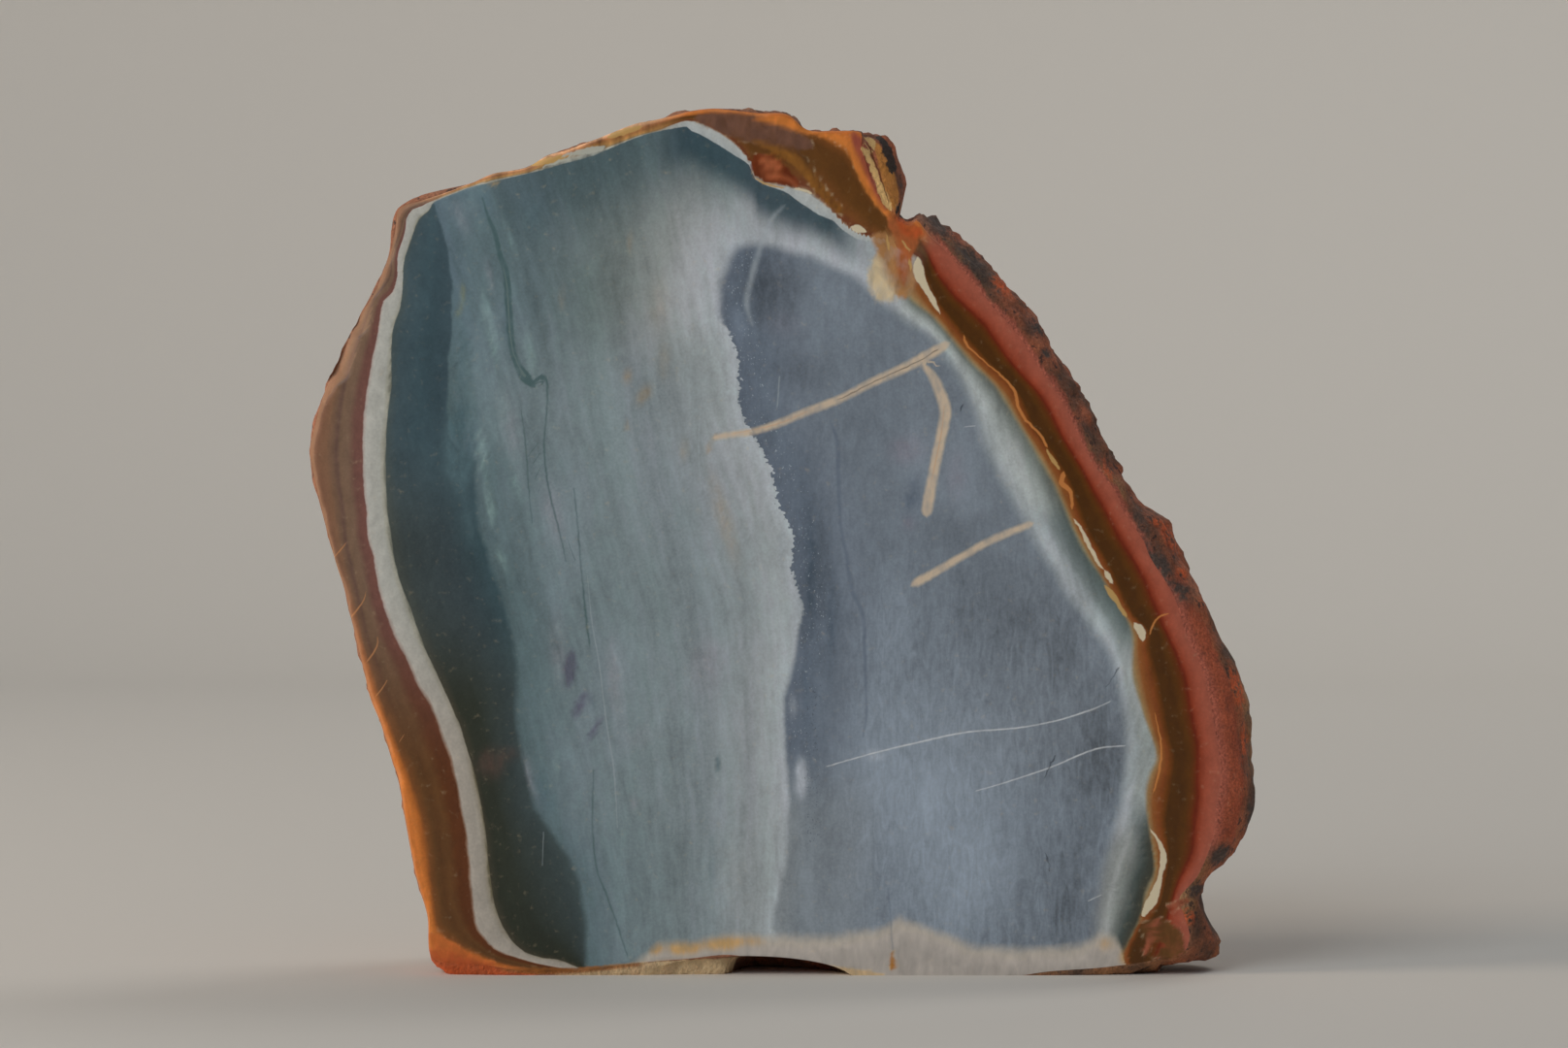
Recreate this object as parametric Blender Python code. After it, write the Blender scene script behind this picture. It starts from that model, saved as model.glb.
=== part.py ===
"""Polychrome jasper: half of a nodule, sawn and polished on one side, that stands on a flat ground base.

The polished face is a flat plane that looks along -Y. Behind it the natural rind bulges out on the
right, slopes inwards on the left, and closes over a lumpy back. Metres, +Z up. The origin is at the
middle of the stone's width and depth, on the plane that its ground base rests on.

Every point of the surface comes from one rule. Seen from the front, a spoke runs from CENTRE in each
direction. Along a spoke the surface leaves the polished face's edge, turns out to the girth, and
follows a rounded profile over the back to the point behind CENTRE. Lumps are added to that.
"""

import math

import bmesh
import bpy
import numpy as np

MM = 0.001

# Driving dimensions, in metres.
THICKNESS = 0.0430
FACE_Y = -0.0222
CENTRE = (-0.0012, 0.0690)

# The edge of the polished face, (x, z) in millimetres, from the lower left corner clockwise.
FACE_EDGE = [
    # left side, a thin chipped edge
    (-56.1, 2.6), (-57.0, 9.6), (-59.0, 16.2), (-60.2, 23.0), (-61.6, 30.5), (-64.2, 39.5),
    (-66.1, 44.2), (-67.1, 48.6), (-68.2, 53.0), (-70.1, 61.0), (-71.6, 65.6), (-73.2, 71.6),
    (-74.8, 78.2), (-75.8, 83.4), (-74.9, 88.0), (-73.3, 93.6), (-71.6, 97.4), (-68.0, 105.0),
    (-65.4, 109.4), (-63.5, 114.0), (-62.2, 119.2), (-61.4, 122.8),
    # top, rising to the crest
    (-56.6, 124.2), (-51.0, 126.2), (-46.7, 128.1), (-41.2, 129.1), (-37.7, 131.0), (-31.0, 133.2),
    (-23.9, 136.0), (-18.8, 137.1), (-14.6, 138.1), (-10.5, 138.5), (-3.6, 137.8), (0.6, 137.5),
    (3.7, 135.1), (8.2, 134.9), (12.2, 134.7),
    # the knob, down to the notch under it
    (12.4, 132.6), (13.3, 129.6), (14.2, 126.8), (15.4, 124.5), (16.6, 122.4), (18.1, 120.6),
    (20.0, 119.9), (21.3, 120.6),
    # right side, along the rind
    (22.8, 118.8), (25.4, 116.4), (27.9, 113.4), (32.9, 107.3), (37.8, 101.7), (41.7, 95.8),
    (45.1, 90.4), (48.5, 83.4), (50.8, 79.9), (53.1, 77.0), (54.3, 74.0), (57.3, 69.6),
    (58.6, 66.6), (62.2, 60.7), (64.3, 54.3), (67.2, 47.8), (68.8, 39.4), (69.8, 32.3),
    (69.0, 26.7), (68.6, 22.3), (66.3, 16.2),
    # the crevice over the lower lump, and the lump
    (63.2, 12.4), (64.0, 9.4), (64.8, 6.2), (63.6, 3.4), (60.4, 2.8), (56.4, 1.9),
    # bottom: down on the base plane at the right, and a little above it at the hollow and the left
    (50.0, 1.2), (42.0, 0.6), (33.0, -0.5), (14.0, -0.5), (9.8, 0.3), (5.6, 1.2), (-4.7, 2.7),
    (-9.3, 3.3), (-15.0, 2.7), (-24.2, 1.9), (-30.4, 0.9), (-37.5, 0.6), (-43.4, 0.8), (-49.6, 1.7),
]

# The girth, where the stone is widest behind the face, (x, z) in millimetres, in the same order.
# On the left and along the top it is the face's edge itself.
GIRTH = [
    (-56.2, 1.9), (-57.1, 9.6), (-59.1, 16.2), (-60.3, 23.0), (-61.7, 30.5), (-64.3, 39.5),
    (-67.2, 48.6), (-70.2, 61.0), (-73.3, 71.6), (-75.9, 83.4), (-73.4, 93.6), (-68.1, 105.0),
    (-63.6, 114.0), (-61.5, 122.9), (-51.1, 126.3), (-41.3, 129.2), (-31.0, 133.3), (-18.8, 137.2),
    (-10.5, 138.6), (0.6, 137.6), (3.7, 135.2), (8.2, 135.0), (12.2, 135.1),
    # the knob's own rind
    (16.7, 134.4), (18.3, 131.2), (19.3, 126.9), (19.2, 124.4), (18.2, 121.9), (19.9, 120.9),
    # the upper rind
    (21.5, 121.8), (24.3, 121.6), (29.8, 116.4), (34.0, 112.7), (39.4, 107.2), (43.3, 100.6),
    (48.8, 91.8), (53.4, 81.8), (56.8, 76.3), (62.0, 72.4), (65.4, 65.2), (69.0, 59.0),
    # the lower rind, the widest part
    (72.3, 50.8), (75.3, 43.7), (75.6, 36.4), (76.3, 30.4), (75.4, 23.6), (72.4, 18.6),
    (68.3, 14.8), (67.6, 12.0), (68.1, 8.9), (70.3, 4.9), (69.0, 2.0), (63.0, 1.5),
    # under the stone, below the plane that is ground flat
    (56.0, -1.0), (46.0, -3.6), (28.0, -4.4), (0.0, -4.6), (-28.0, -4.2), (-42.0, -3.2),
    (-51.0, -1.6),
]

# Tables round the outline. Angles are in degrees, clockwise from straight up.
GIRTH_DEPTH = [  # how far behind the face the girth lies, millimetres
    (0, 2.0), (14, 5.0), (30, 9.0), (70, 10.0), (120, 11.0), (140, 9.0), (165, 9.0), (195, 9.0),
    (218, 4.0), (240, 1.6), (300, 1.2), (340, 1.6),
]
SQUARENESS = [  # the back profile's power: 1 is a straight slope, 2 an ellipse, more is boxy
    (0, 2.1), (45, 2.3), (100, 2.5), (140, 2.9), (180, 4.6), (205, 3.6), (235, 1.9), (275, 1.5),
    (320, 1.7),
]
ROUGHNESS = [  # how strongly the lumps show
    (0, 0.8), (60, 1.0), (120, 1.1), (160, 0.7), (200, 0.7), (240, 0.8), (300, 0.7),
]

# The middle of the back is one broad dome: its top (x, z) and the share of the thickness that it has
# lost at DOME_HALF to the sides and up and down.
DOME_TOP = (0.010, 0.060)
DOME_HALF = (0.075, 0.070)
DOME_DROP = (0.34, 0.26)
DOME_FROM, DOME_FULL = 0.30, 0.80  # shares of the way over the back where it takes over

# Large forms of the back, set by hand: (x, z, radius, height), millimetres. A dent has a negative height.
BACK_FORMS = [
    (-24.0, 96.0, 21.0, 3.0), (22.0, 88.0, 17.0, -3.4), (34.0, 58.0, 19.0, 2.6),
    (-6.0, 52.0, 15.0, -2.6), (-36.0, 58.0, 16.0, 2.4), (8.0, 112.0, 13.0, 2.6),
    (48.0, 30.0, 15.0, 3.0), (10.0, 24.0, 16.0, 1.6), (-30.0, 24.0, 14.0, -2.0),
]

# Lumps by size: (cell, height), millimetres.
LUMPS = [(31.0, 3.2), (14.0, 1.8), (7.0, 0.9)]
LUMP_SEED = 11
LUMP_FROM = 0.28  # share of the way over the back at which lumps reach their full height
CRAG_CELL, CRAG_HEIGHT, CRAG_SEED = 5.5 * MM, 0.7 * MM, 21  # crags between the face and the girth

# The hollow broken out under the front edge: an ellipsoid's middle and half sizes, metres.
HOLLOW_MIDDLE = (-0.0060, FACE_Y, -0.0008)
HOLLOW_HALF = (0.0170, 0.0125, 0.0039)

GRID = 42  # cells along each side of the grid that is bent into the middle of the back
SPOKES = 4 * GRID
GRID_FROM = 0.44  # share of the way over the back at which the grid begins
EDGE_RINGS = 4
BACK_RINGS = 8
SMOOTH_WAVES = 5  # the back keeps only this many waves of the outline
SMOOTH_DEPTH = 0.55  # share of the way over the back at which only those are left
SPAN_STEPS = 24  # points to each span where an outline is read as a curve
LATTICE = 16  # random values along each side of the block that the noise repeats
LATTICE_START = 100.0  # where in the lattice the origin lies
TINY = 1e-6

STONE_COLOUR = (0.16, 0.19, 0.21, 1.0)
STONE_ROUGHNESS = 0.35


def smoothstep(t):
    """3t^2 - 2t^3, held at 0 below t = 0 and at 1 above t = 1."""
    t = np.clip(t, 0.0, 1.0)
    return t * t * (3.0 - 2.0 * t)


def closed_curve(points):
    """A Catmull-Rom curve through the points and back to the first, as an (n, 2) array in metres."""
    p = np.array(points) * MM
    before, after, far = np.roll(p, 1, 0), np.roll(p, -1, 0), np.roll(p, -2, 0)
    t = np.linspace(0.0, 1.0, SPAN_STEPS, endpoint=False)[None, :, None]
    p, before, after, far = (a[:, None, :] for a in (p, before, after, far))
    curve = 0.5 * (
        2.0 * p
        + (after - before) * t
        + (2.0 * before - 5.0 * p + 4.0 * after - far) * t**2
        + (3.0 * p - before - 3.0 * after + far) * t**3
    )
    return curve.reshape(-1, 2)


def clock_angle(points):
    """The angle of each (x, z) point about CENTRE, clockwise from straight up, in radians."""
    return np.arctan2(points[:, 0] - CENTRE[0], points[:, 1] - CENTRE[1])


def reach(points, angles):
    """Distance from CENTRE to the closed curve through the points, in each direction."""
    curve = closed_curve(points)
    distance = np.hypot(curve[:, 0] - CENTRE[0], curve[:, 1] - CENTRE[1])
    return np.interp(angles, clock_angle(curve), distance, period=2.0 * math.pi)


def spoke_angle(turn):
    """The spoke's direction at turn, 0 to 1 clockwise round the face's edge by its length."""
    curve = closed_curve(FACE_EDGE)
    length = np.hypot(*(np.roll(curve, -1, 0) - curve).T)
    along = np.concatenate([[0.0], np.cumsum(length)])
    unwrapped = np.unwrap(clock_angle(np.vstack([curve, curve[:1]])))
    return np.interp(turn * along[-1], along, unwrapped)


def around(table, angles):
    """A table's value in each direction, with a smooth step from each entry to the next."""
    degrees = np.degrees(angles) % 360.0
    starts = np.array([a for a, _ in table] + [360.0])
    values = np.array([v for _, v in table] + [table[0][1]])
    i = np.clip(np.searchsorted(starts, degrees, side="right") - 1, 0, len(table) - 1)
    part = smoothstep((degrees - starts[i]) / (starts[i + 1] - starts[i]))
    return values[i] + (values[i + 1] - values[i]) * part


def lattice_noise(points, cell, seed):
    """Smooth noise from -1 to 1: random values on a lattice of cubes, eased from corner to corner."""
    values = np.random.default_rng(seed).uniform(-1.0, 1.0, (LATTICE, LATTICE, LATTICE))
    place = points / cell + LATTICE_START
    corner = np.floor(place).astype(int)
    part = smoothstep(place - corner)
    total = np.zeros(points.shape[:-1])
    for dx in (0, 1):
        for dy in (0, 1):
            for dz in (0, 1):
                i, j, k = ((corner[..., n] + d) % LATTICE for n, d in enumerate((dx, dy, dz)))
                weight = 1.0
                for n, d in enumerate((dx, dy, dz)):
                    weight = weight * (part[..., n] if d else 1.0 - part[..., n])
                total += values[i, j, k] * weight
    return total


def smooth_reach(angles):
    """The girth's distance from CENTRE with only its longest waves, for the back."""
    even = np.linspace(0.0, 2.0 * math.pi, SPOKES, endpoint=False)
    waves = np.fft.rfft(reach(GIRTH, even))
    waves[SMOOTH_WAVES:] = 0.0
    return np.interp(angles, even, np.fft.irfft(waves, SPOKES), period=2.0 * math.pi)


def bare_form(angles, share):
    """Points of the stone with no lumps.

    share is -1 at the face's edge, 0 at the girth and 1 behind CENTRE. From the edge to the girth
    the profile is a quarter ellipse. Over the back it is a superellipse, which gives way to the
    broad dome, so that no ridges run together behind CENTRE.
    """
    edge = reach(FACE_EDGE, angles)
    girth = np.maximum(reach(GIRTH, angles), edge)
    depth = around(GIRTH_DEPTH, angles) * MM
    power = around(SQUARENESS, angles)

    turn = np.clip(share + 1.0, 0.0, 1.0) * math.pi / 2
    edge_radius = edge + (girth - edge) * np.sin(turn)
    edge_depth = depth * (1.0 - np.cos(turn))

    turn = np.clip(share, 0.0, 1.0) * math.pi / 2
    scale = (np.cos(turn) ** power + np.sin(turn) ** power) ** (-1.0 / power)
    outline = girth + (smooth_reach(angles) - girth) * smoothstep(share / SMOOTH_DEPTH)
    radius = np.where(share < 0.0, edge_radius, outline * scale * np.cos(turn))
    back_depth = depth + (THICKNESS - depth) * scale * np.sin(turn)

    x = CENTRE[0] + radius * np.sin(angles)
    z = CENTRE[1] + radius * np.cos(angles)
    dome = THICKNESS * (
        1.0
        - DOME_DROP[0] * ((x - DOME_TOP[0]) / DOME_HALF[0]) ** 2
        - DOME_DROP[1] * ((z - DOME_TOP[1]) / DOME_HALF[1]) ** 2
    )
    back_depth += (dome - back_depth) * smoothstep((share - DOME_FROM) / (DOME_FULL - DOME_FROM))
    return np.stack([x, FACE_Y + np.where(share < 0.0, edge_depth, back_depth), z], axis=-1)


def lump_height(points, angles, share):
    """How far the natural surface stands out from the bare form at each point, in metres."""
    height = sum(
        lattice_noise(points, cell * MM, LUMP_SEED + n) * size * MM
        for n, (cell, size) in enumerate(LUMPS)
    )
    height = height * around(ROUGHNESS, angles)
    for x, z, radius, size in BACK_FORMS:
        away = np.hypot(points[..., 0] - x * MM, points[..., 2] - z * MM)
        height = height + size * MM * smoothstep(1.0 - away / (radius * MM))
    crags = lattice_noise(points, CRAG_CELL, CRAG_SEED) * CRAG_HEIGHT
    behind_edge = smoothstep((points[..., 1] - FACE_Y) / CRAG_CELL)
    return height * smoothstep(share / LUMP_FROM) + crags * behind_edge


def surface(turn, share):
    """Points of the finished surface. Lumps push outwards at the girth and backwards at the middle."""
    angles = spoke_angle(turn)
    points = bare_form(angles, share)
    lean = np.clip(share, 0.0, 1.0) * math.pi / 2
    across = np.cos(lean)
    away = np.stack([np.sin(angles) * across, np.sin(lean), np.cos(angles) * across], axis=-1)
    return points + away * lump_height(points, angles, share)[..., None]


def square_place(u, v):
    """(turn, how far out) of a point of the square from -1 to 1. The turn starts at the lower left."""
    out = np.maximum(np.maximum(np.abs(u), np.abs(v)), TINY)
    u, v = u / out, v / out
    sides = [u <= -1.0 + TINY, v >= 1.0 - TINY, u >= 1.0 - TINY]
    turns = [(v + 1.0) / 8, (u + 3.0) / 8, (5.0 - v) / 8]
    return np.select(sides, turns, (7.0 - u) / 8) % 1.0, out


def stone_mesh():
    """The whole stone as one closed mesh: a grid bent into the back, and rings from it to the face."""
    mesh = bmesh.new()
    bmesh.ops.create_grid(mesh, x_segments=GRID, y_segments=GRID, size=1.0)
    u, v = np.array([vert.co.xy for vert in mesh.verts]).T
    turn, out = square_place(u, v)
    for vert, place in zip(mesh.verts, surface(turn, 1.0 - out * (1.0 - GRID_FROM))):
        vert.co = place
    rim = [e for e in mesh.edges if e.is_boundary]
    back = np.linspace(GRID_FROM, 0.0, BACK_RINGS, endpoint=False)[1:]
    edge = np.linspace(0.0, -1.0, EDGE_RINGS + 1)
    turn = np.arange(SPOKES) / SPOKES
    for share in np.concatenate([back, edge]):
        verts = [mesh.verts.new(p) for p in surface(turn, np.full(SPOKES, share))]
        ring = [mesh.edges.new((a, b)) for a, b in zip(verts, verts[1:] + verts[:1])]
        bmesh.ops.bridge_loops(mesh, edges=rim + ring)
        rim = ring
    bmesh.ops.contextual_create(mesh, geom=rim)
    bmesh.ops.recalc_face_normals(mesh, faces=mesh.faces)
    return mesh


def grind_base(mesh):
    """Cuts the stone flat at z = 0, as it was ground to stand, and closes the cut."""
    everything = mesh.verts[:] + mesh.edges[:] + mesh.faces[:]
    cut = bmesh.ops.bisect_plane(
        mesh, geom=everything, plane_co=(0.0, 0.0, 0.0), plane_no=(0.0, 0.0, 1.0), clear_inner=True
    )
    rim = [e for e in cut["geom_cut"] if isinstance(e, bmesh.types.BMEdge)]
    bmesh.ops.contextual_create(mesh, geom=rim)
    bmesh.ops.recalc_face_normals(mesh, faces=mesh.faces)


def add_object(name, mesh):
    """Puts a bmesh into the scene as an object."""
    data = bpy.data.meshes.new(name)
    mesh.to_mesh(data)
    mesh.free()
    obj = bpy.data.objects.new(name, data)
    bpy.context.scene.collection.objects.link(obj)
    return obj


def hollow_cutter():
    """The ellipsoid that breaks the hollow out from under the front edge."""
    mesh = bmesh.new()
    bmesh.ops.create_icosphere(mesh, subdivisions=3, radius=1.0)
    bmesh.ops.scale(mesh, vec=HOLLOW_HALF, verts=mesh.verts)
    bmesh.ops.translate(mesh, vec=HOLLOW_MIDDLE, verts=mesh.verts)
    cutter = add_object("hollow_cutter", mesh)
    cutter.hide_render = True
    cutter.display_type = "WIRE"
    return cutter


def jasper_material():
    """Satin-polished slate-blue jasper."""
    material = bpy.data.materials.new("jasper")
    material.use_nodes = True
    shader = material.node_tree.nodes["Principled BSDF"]
    shader.inputs["Base Color"].default_value = STONE_COLOUR
    shader.inputs["Roughness"].default_value = STONE_ROUGHNESS
    shader.inputs["Metallic"].default_value = 0.0
    return material


def build():
    for obj in list(bpy.data.objects):
        bpy.data.objects.remove(obj)
    mesh = stone_mesh()
    grind_base(mesh)
    stone = add_object("jasper", mesh)
    cut = stone.modifiers.new("hollow", "BOOLEAN")
    cut.operation = "DIFFERENCE"
    cut.solver = "EXACT"
    cut.object = hollow_cutter()
    stone.data.materials.append(jasper_material())


build()
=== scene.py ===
# %% [markdown]
# Polychrome jasper
#
# This lesson dresses one stone: half of a jasper nodule that was sawn and polished on one side and
# ground flat underneath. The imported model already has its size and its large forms. Here it gets a
# fine surface, its coloured bands, its veins and its natural rind. Everything is in metres, +Z is up
# and the polished face looks along -Y.

import math

import bpy
import numpy as np
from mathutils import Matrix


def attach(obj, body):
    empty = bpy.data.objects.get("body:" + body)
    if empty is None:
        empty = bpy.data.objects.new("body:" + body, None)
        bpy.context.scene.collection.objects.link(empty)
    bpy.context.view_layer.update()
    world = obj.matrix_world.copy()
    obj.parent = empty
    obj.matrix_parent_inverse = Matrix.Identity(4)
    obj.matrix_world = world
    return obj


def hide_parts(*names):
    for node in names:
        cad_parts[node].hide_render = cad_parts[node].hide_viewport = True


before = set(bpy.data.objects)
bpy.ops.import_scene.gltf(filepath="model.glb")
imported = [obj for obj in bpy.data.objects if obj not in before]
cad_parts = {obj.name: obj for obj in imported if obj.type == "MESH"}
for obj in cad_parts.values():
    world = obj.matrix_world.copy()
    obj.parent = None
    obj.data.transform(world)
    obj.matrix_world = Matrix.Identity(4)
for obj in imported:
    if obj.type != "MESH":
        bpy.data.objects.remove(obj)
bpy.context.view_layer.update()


def show(box):
    """A box's two corners as text, in whole millimetres."""
    return " to ".join(str([round(v * 1000) for v in corner]) for corner in box)


def add_object(name, data):
    """A new object in the scene, at the origin until it is moved."""
    made = bpy.data.objects.new(name, data)
    bpy.context.scene.collection.objects.link(made)
    return made


# %% [markdown]
# The camera. The photograph was taken from about 60 cm away with the lens level with the middle of
# the stone. A camera can be placed by eye, but here its distance and lens come from two facts: how
# wide one pixel is at the polished face, and how far away the eye is. Level and unshifted, it keeps
# the stone's upright lines upright.

# %% Camera
MM = 0.001
FACE_Y = -0.0222  # the polished face's plane
IMAGE_WIDE = 1616  # the photograph's pixels from left to right
PIXEL = 0.155 * MM  # width of one pixel at the polished face
EYE_AWAY = 0.611  # from the polished face to the lens
EYE_HEIGHT = 0.0721
SENSOR = 36.0

lens = bpy.data.cameras.new("camera")
lens.sensor_width = SENSOR
lens.lens = SENSOR * EYE_AWAY / (IMAGE_WIDE * PIXEL)
lens.clip_start = 0.02
camera = add_object("camera", lens)
camera.location = (0.0, FACE_Y - EYE_AWAY, EYE_HEIGHT)
camera.rotation_euler = (math.pi / 2, 0.0, 0.0)
bpy.context.scene.camera = camera
print(f"lens {lens.lens:.1f} mm, {EYE_AWAY:.3f} m from the face")

# %% [markdown]
# The outlines. Seen from the front, the stone's polished face has an edge, and behind it lies the
# girth, where the stone is widest. Both are closed curves through listed points, in millimetres,
# clockwise from the lower left, and they are those that the imported model was made from, so the fine
# surface falls exactly on the solid one. Points are written as "x z", with a comma between them.

# %% Outlines of the stone
CENTRE = (-0.0012, 0.0690)  # every spoke of the surface starts here, (x, z)
THICKNESS = 0.0430


def rows(text):
    """Rows of numbers read from text, in which a comma ends each row."""
    return [tuple(float(number) for number in row.split()) for row in text.split(",")]


FACE_EDGE = rows("""
    -56.1 2.6, -57 9.6, -59 16.2, -60.2 23, -61.6 30.5, -64.2 39.5, -66.1 44.2, -67.1 48.6, -68.2 53,
    -70.1 61, -71.6 65.6, -73.2 71.6, -74.8 78.2, -75.8 83.4, -74.9 88, -73.3 93.6, -71.6 97.4, -68 105,
    -65.4 109.4, -63.5 114, -62.2 119.2, -61.4 122.8, -56.6 124.2, -51 126.2, -46.7 128.1, -41.2 129.1,
    -37.7 131, -31 133.2, -23.9 136, -18.8 137.1, -14.6 138.1, -10.5 138.5, -3.6 137.8, 0.6 137.5,
    3.7 135.1, 8.2 134.9, 12.2 134.7, 12.4 132.6, 13.3 129.6, 14.2 126.8, 15.4 124.5, 16.6 122.4,
    18.1 120.6, 20 119.9, 21.3 120.6, 22.8 118.8, 25.4 116.4, 27.9 113.4, 32.9 107.3, 37.8 101.7,
    41.7 95.8, 45.1 90.4, 48.5 83.4, 50.8 79.9, 53.1 77, 54.3 74, 57.3 69.6, 58.6 66.6, 62.2 60.7,
    64.3 54.3, 67.2 47.8, 68.8 39.4, 69.8 32.3, 69 26.7, 68.6 22.3, 66.3 16.2, 63.2 12.4, 64 9.4, 64.8 6.2,
    63.6 3.4, 60.4 2.8, 56.4 1.9, 50 1.2, 42 0.6, 33 -0.5, 14 -0.5, 9.8 0.3, 5.6 1.2, -4.7 2.7, -9.3 3.3,
    -15 2.7, -24.2 1.9, -30.4 0.9, -37.5 0.6, -43.4 0.8, -49.6 1.7
""")
GIRTH = rows("""
    -56.2 1.9, -57.1 9.6, -59.1 16.2, -60.3 23, -61.7 30.5, -64.3 39.5, -67.2 48.6, -70.2 61, -73.3 71.6,
    -75.9 83.4, -73.4 93.6, -68.1 105, -63.6 114, -61.5 122.9, -51.1 126.3, -41.3 129.2, -31 133.3,
    -18.8 137.2, -10.5 138.6, 0.6 137.6, 3.7 135.2, 8.2 135, 12.2 135.1, 16.7 134.4, 18.3 131.2,
    19.3 126.9, 19.2 124.4, 18.2 121.9, 19.9 120.9, 21.5 121.8, 24.3 121.6, 29.8 116.4, 34 112.7,
    39.4 107.2, 43.3 100.6, 48.8 91.8, 53.4 81.8, 56.8 76.3, 62 72.4, 65.4 65.2, 69 59, 72.3 50.8,
    75.3 43.7, 75.6 36.4, 76.3 30.4, 75.4 23.6, 72.4 18.6, 68.3 14.8, 67.6 12, 68.1 8.9, 70.3 4.9, 69 2,
    63 1.5, 56 -1, 46 -3.6, 28 -4.4, 0 -4.6, -28 -4.2, -42 -3.2, -51 -1.6
""")
SPAN_STEPS = 24  # points to each span where an outline is read as a curve


def closed_curve(points, steps=SPAN_STEPS):
    """A Catmull-Rom curve through the points and back to the first, one row a point, in metres.

    Between two points p and q, with b before and a after them, the place at t is half of
    2p + (q - b)t + (2b - 5p + 4q - a)t^2 + (3p - b - 3q + a)t^3.
    """
    p, before, after, far = (np.roll(np.array(points) * MM, n, 0)[:, None, :] for n in (0, 1, -1, -2))
    t = np.linspace(0.0, 1.0, steps, endpoint=False)[None, :, None]
    curve = 0.5 * (
        2.0 * p
        + (after - before) * t
        + (2.0 * before - 5.0 * p + 4.0 * after - far) * t**2
        + (3.0 * p - before - 3.0 * after + far) * t**3
    )
    return curve.reshape(-1, curve.shape[-1])


def clock_angle(points):
    """The angle of each (x, z) point about CENTRE, clockwise from straight up, in radians."""
    return np.arctan2(points[..., 0] - CENTRE[0], points[..., 1] - CENTRE[1])


def reach(points, angles):
    """Distance from CENTRE to the closed curve through the points, in each direction."""
    curve = closed_curve(points)
    distance = np.hypot(curve[:, 0] - CENTRE[0], curve[:, 1] - CENTRE[1])
    return np.interp(angles, clock_angle(curve), distance, period=2.0 * math.pi)


def smoothstep(t):
    """3t^2 - 2t^3, held at 0 below t = 0 and at 1 above t = 1."""
    t = np.clip(t, 0.0, 1.0)
    return t * t * (3.0 - 2.0 * t)


def around(entries, angles):
    """A list's value in each direction, with a smooth step from each entry to the next."""
    degrees = np.degrees(angles) % 360.0
    starts = np.array([a for a, _ in entries] + [360.0])
    values = np.array([v for _, v in entries] + [entries[0][1]])
    i = np.clip(np.searchsorted(starts, degrees, side="right") - 1, 0, len(entries) - 1)
    part = smoothstep((degrees - starts[i]) / (starts[i + 1] - starts[i]))
    return values[i] + (values[i + 1] - values[i]) * part


print(f"face edge {len(FACE_EDGE)} points, girth {len(GIRTH)} points")

# %% [markdown]
# The large forms. A lumpy stone could be sculpted or displaced with a texture. A rule is easier to
# repeat: along each spoke the surface leaves the face's edge, turns out to the girth on a quarter
# ellipse, and follows a rounded profile over the back. Lumps of value noise are added to that. The
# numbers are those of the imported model.

# %% Large forms of the rind
# (angle, how far behind the face the girth lies in millimetres)
GIRTH_DEPTH = rows("0 2, 14 5, 30 9, 70 10, 120 11, 140 9, 165 9, 195 9, 218 4, 240 1.6, 300 1.2, 340 1.6")
# (angle, the back profile's power): 1 is a straight slope, 2 an ellipse, more is boxy
SQUARENESS = rows("0 2.1, 45 2.3, 100 2.5, 140 2.9, 180 4.6, 205 3.6, 235 1.9, 275 1.5, 320 1.7")
# (angle, how strongly the lumps show)
ROUGHNESS = rows("0 0.8, 60 1, 120 1.1, 160 0.7, 200 0.7, 240 0.8, 300 0.7")
DOME_TOP = (0.010, 0.060)
DOME_HALF = (0.075, 0.070)
DOME_DROP = (0.34, 0.26)
DOME_FROM, DOME_FULL = 0.30, 0.80
# (x, z, radius, height), millimetres
BACK_FORMS = rows("""
    -24 96 21 3, 22 88 17 -3.4, 34 58 19 2.6, -6 52 15 -2.6, -36 58 16 2.4, 8 112 13 2.6, 48 30 15 3,
    10 24 16 1.6, -30 24 14 -2
""")
LUMPS = [(31.0, 3.2), (14.0, 1.8), (7.0, 0.9)]  # (cell, height), millimetres
LUMP_SEED = 11
LUMP_FROM = 0.28
CRAG_CELL, CRAG_HEIGHT, CRAG_SEED = 5.5 * MM, 0.7 * MM, 21
SMOOTH_WAVES, SMOOTH_DEPTH, SMOOTH_SAMPLES = 5, 0.55, 168
LATTICE = 16
LATTICE_START = 100.0


def lattice_noise(points, cell, seed):
    """Smooth noise from -1 to 1: random values on a lattice of cubes, eased from corner to corner."""
    values = np.random.default_rng(seed).uniform(-1.0, 1.0, (LATTICE, LATTICE, LATTICE))
    place = points / cell + LATTICE_START
    corner = np.floor(place).astype(int)
    part = smoothstep(place - corner)
    total = np.zeros(points.shape[:-1])
    for dx in (0, 1):
        for dy in (0, 1):
            for dz in (0, 1):
                i, j, k = ((corner[..., n] + d) % LATTICE for n, d in enumerate((dx, dy, dz)))
                weight = 1.0
                for n, d in enumerate((dx, dy, dz)):
                    weight = weight * (part[..., n] if d else 1.0 - part[..., n])
                total += values[i, j, k] * weight
    return total


def smooth_reach(angles):
    """The girth's distance from CENTRE with only its longest waves, for the back."""
    even = np.linspace(0.0, 2.0 * math.pi, SMOOTH_SAMPLES, endpoint=False)
    waves = np.fft.rfft(reach(GIRTH, even))
    waves[SMOOTH_WAVES:] = 0.0
    return np.interp(angles, even, np.fft.irfft(waves, SMOOTH_SAMPLES), period=2.0 * math.pi)


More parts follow.
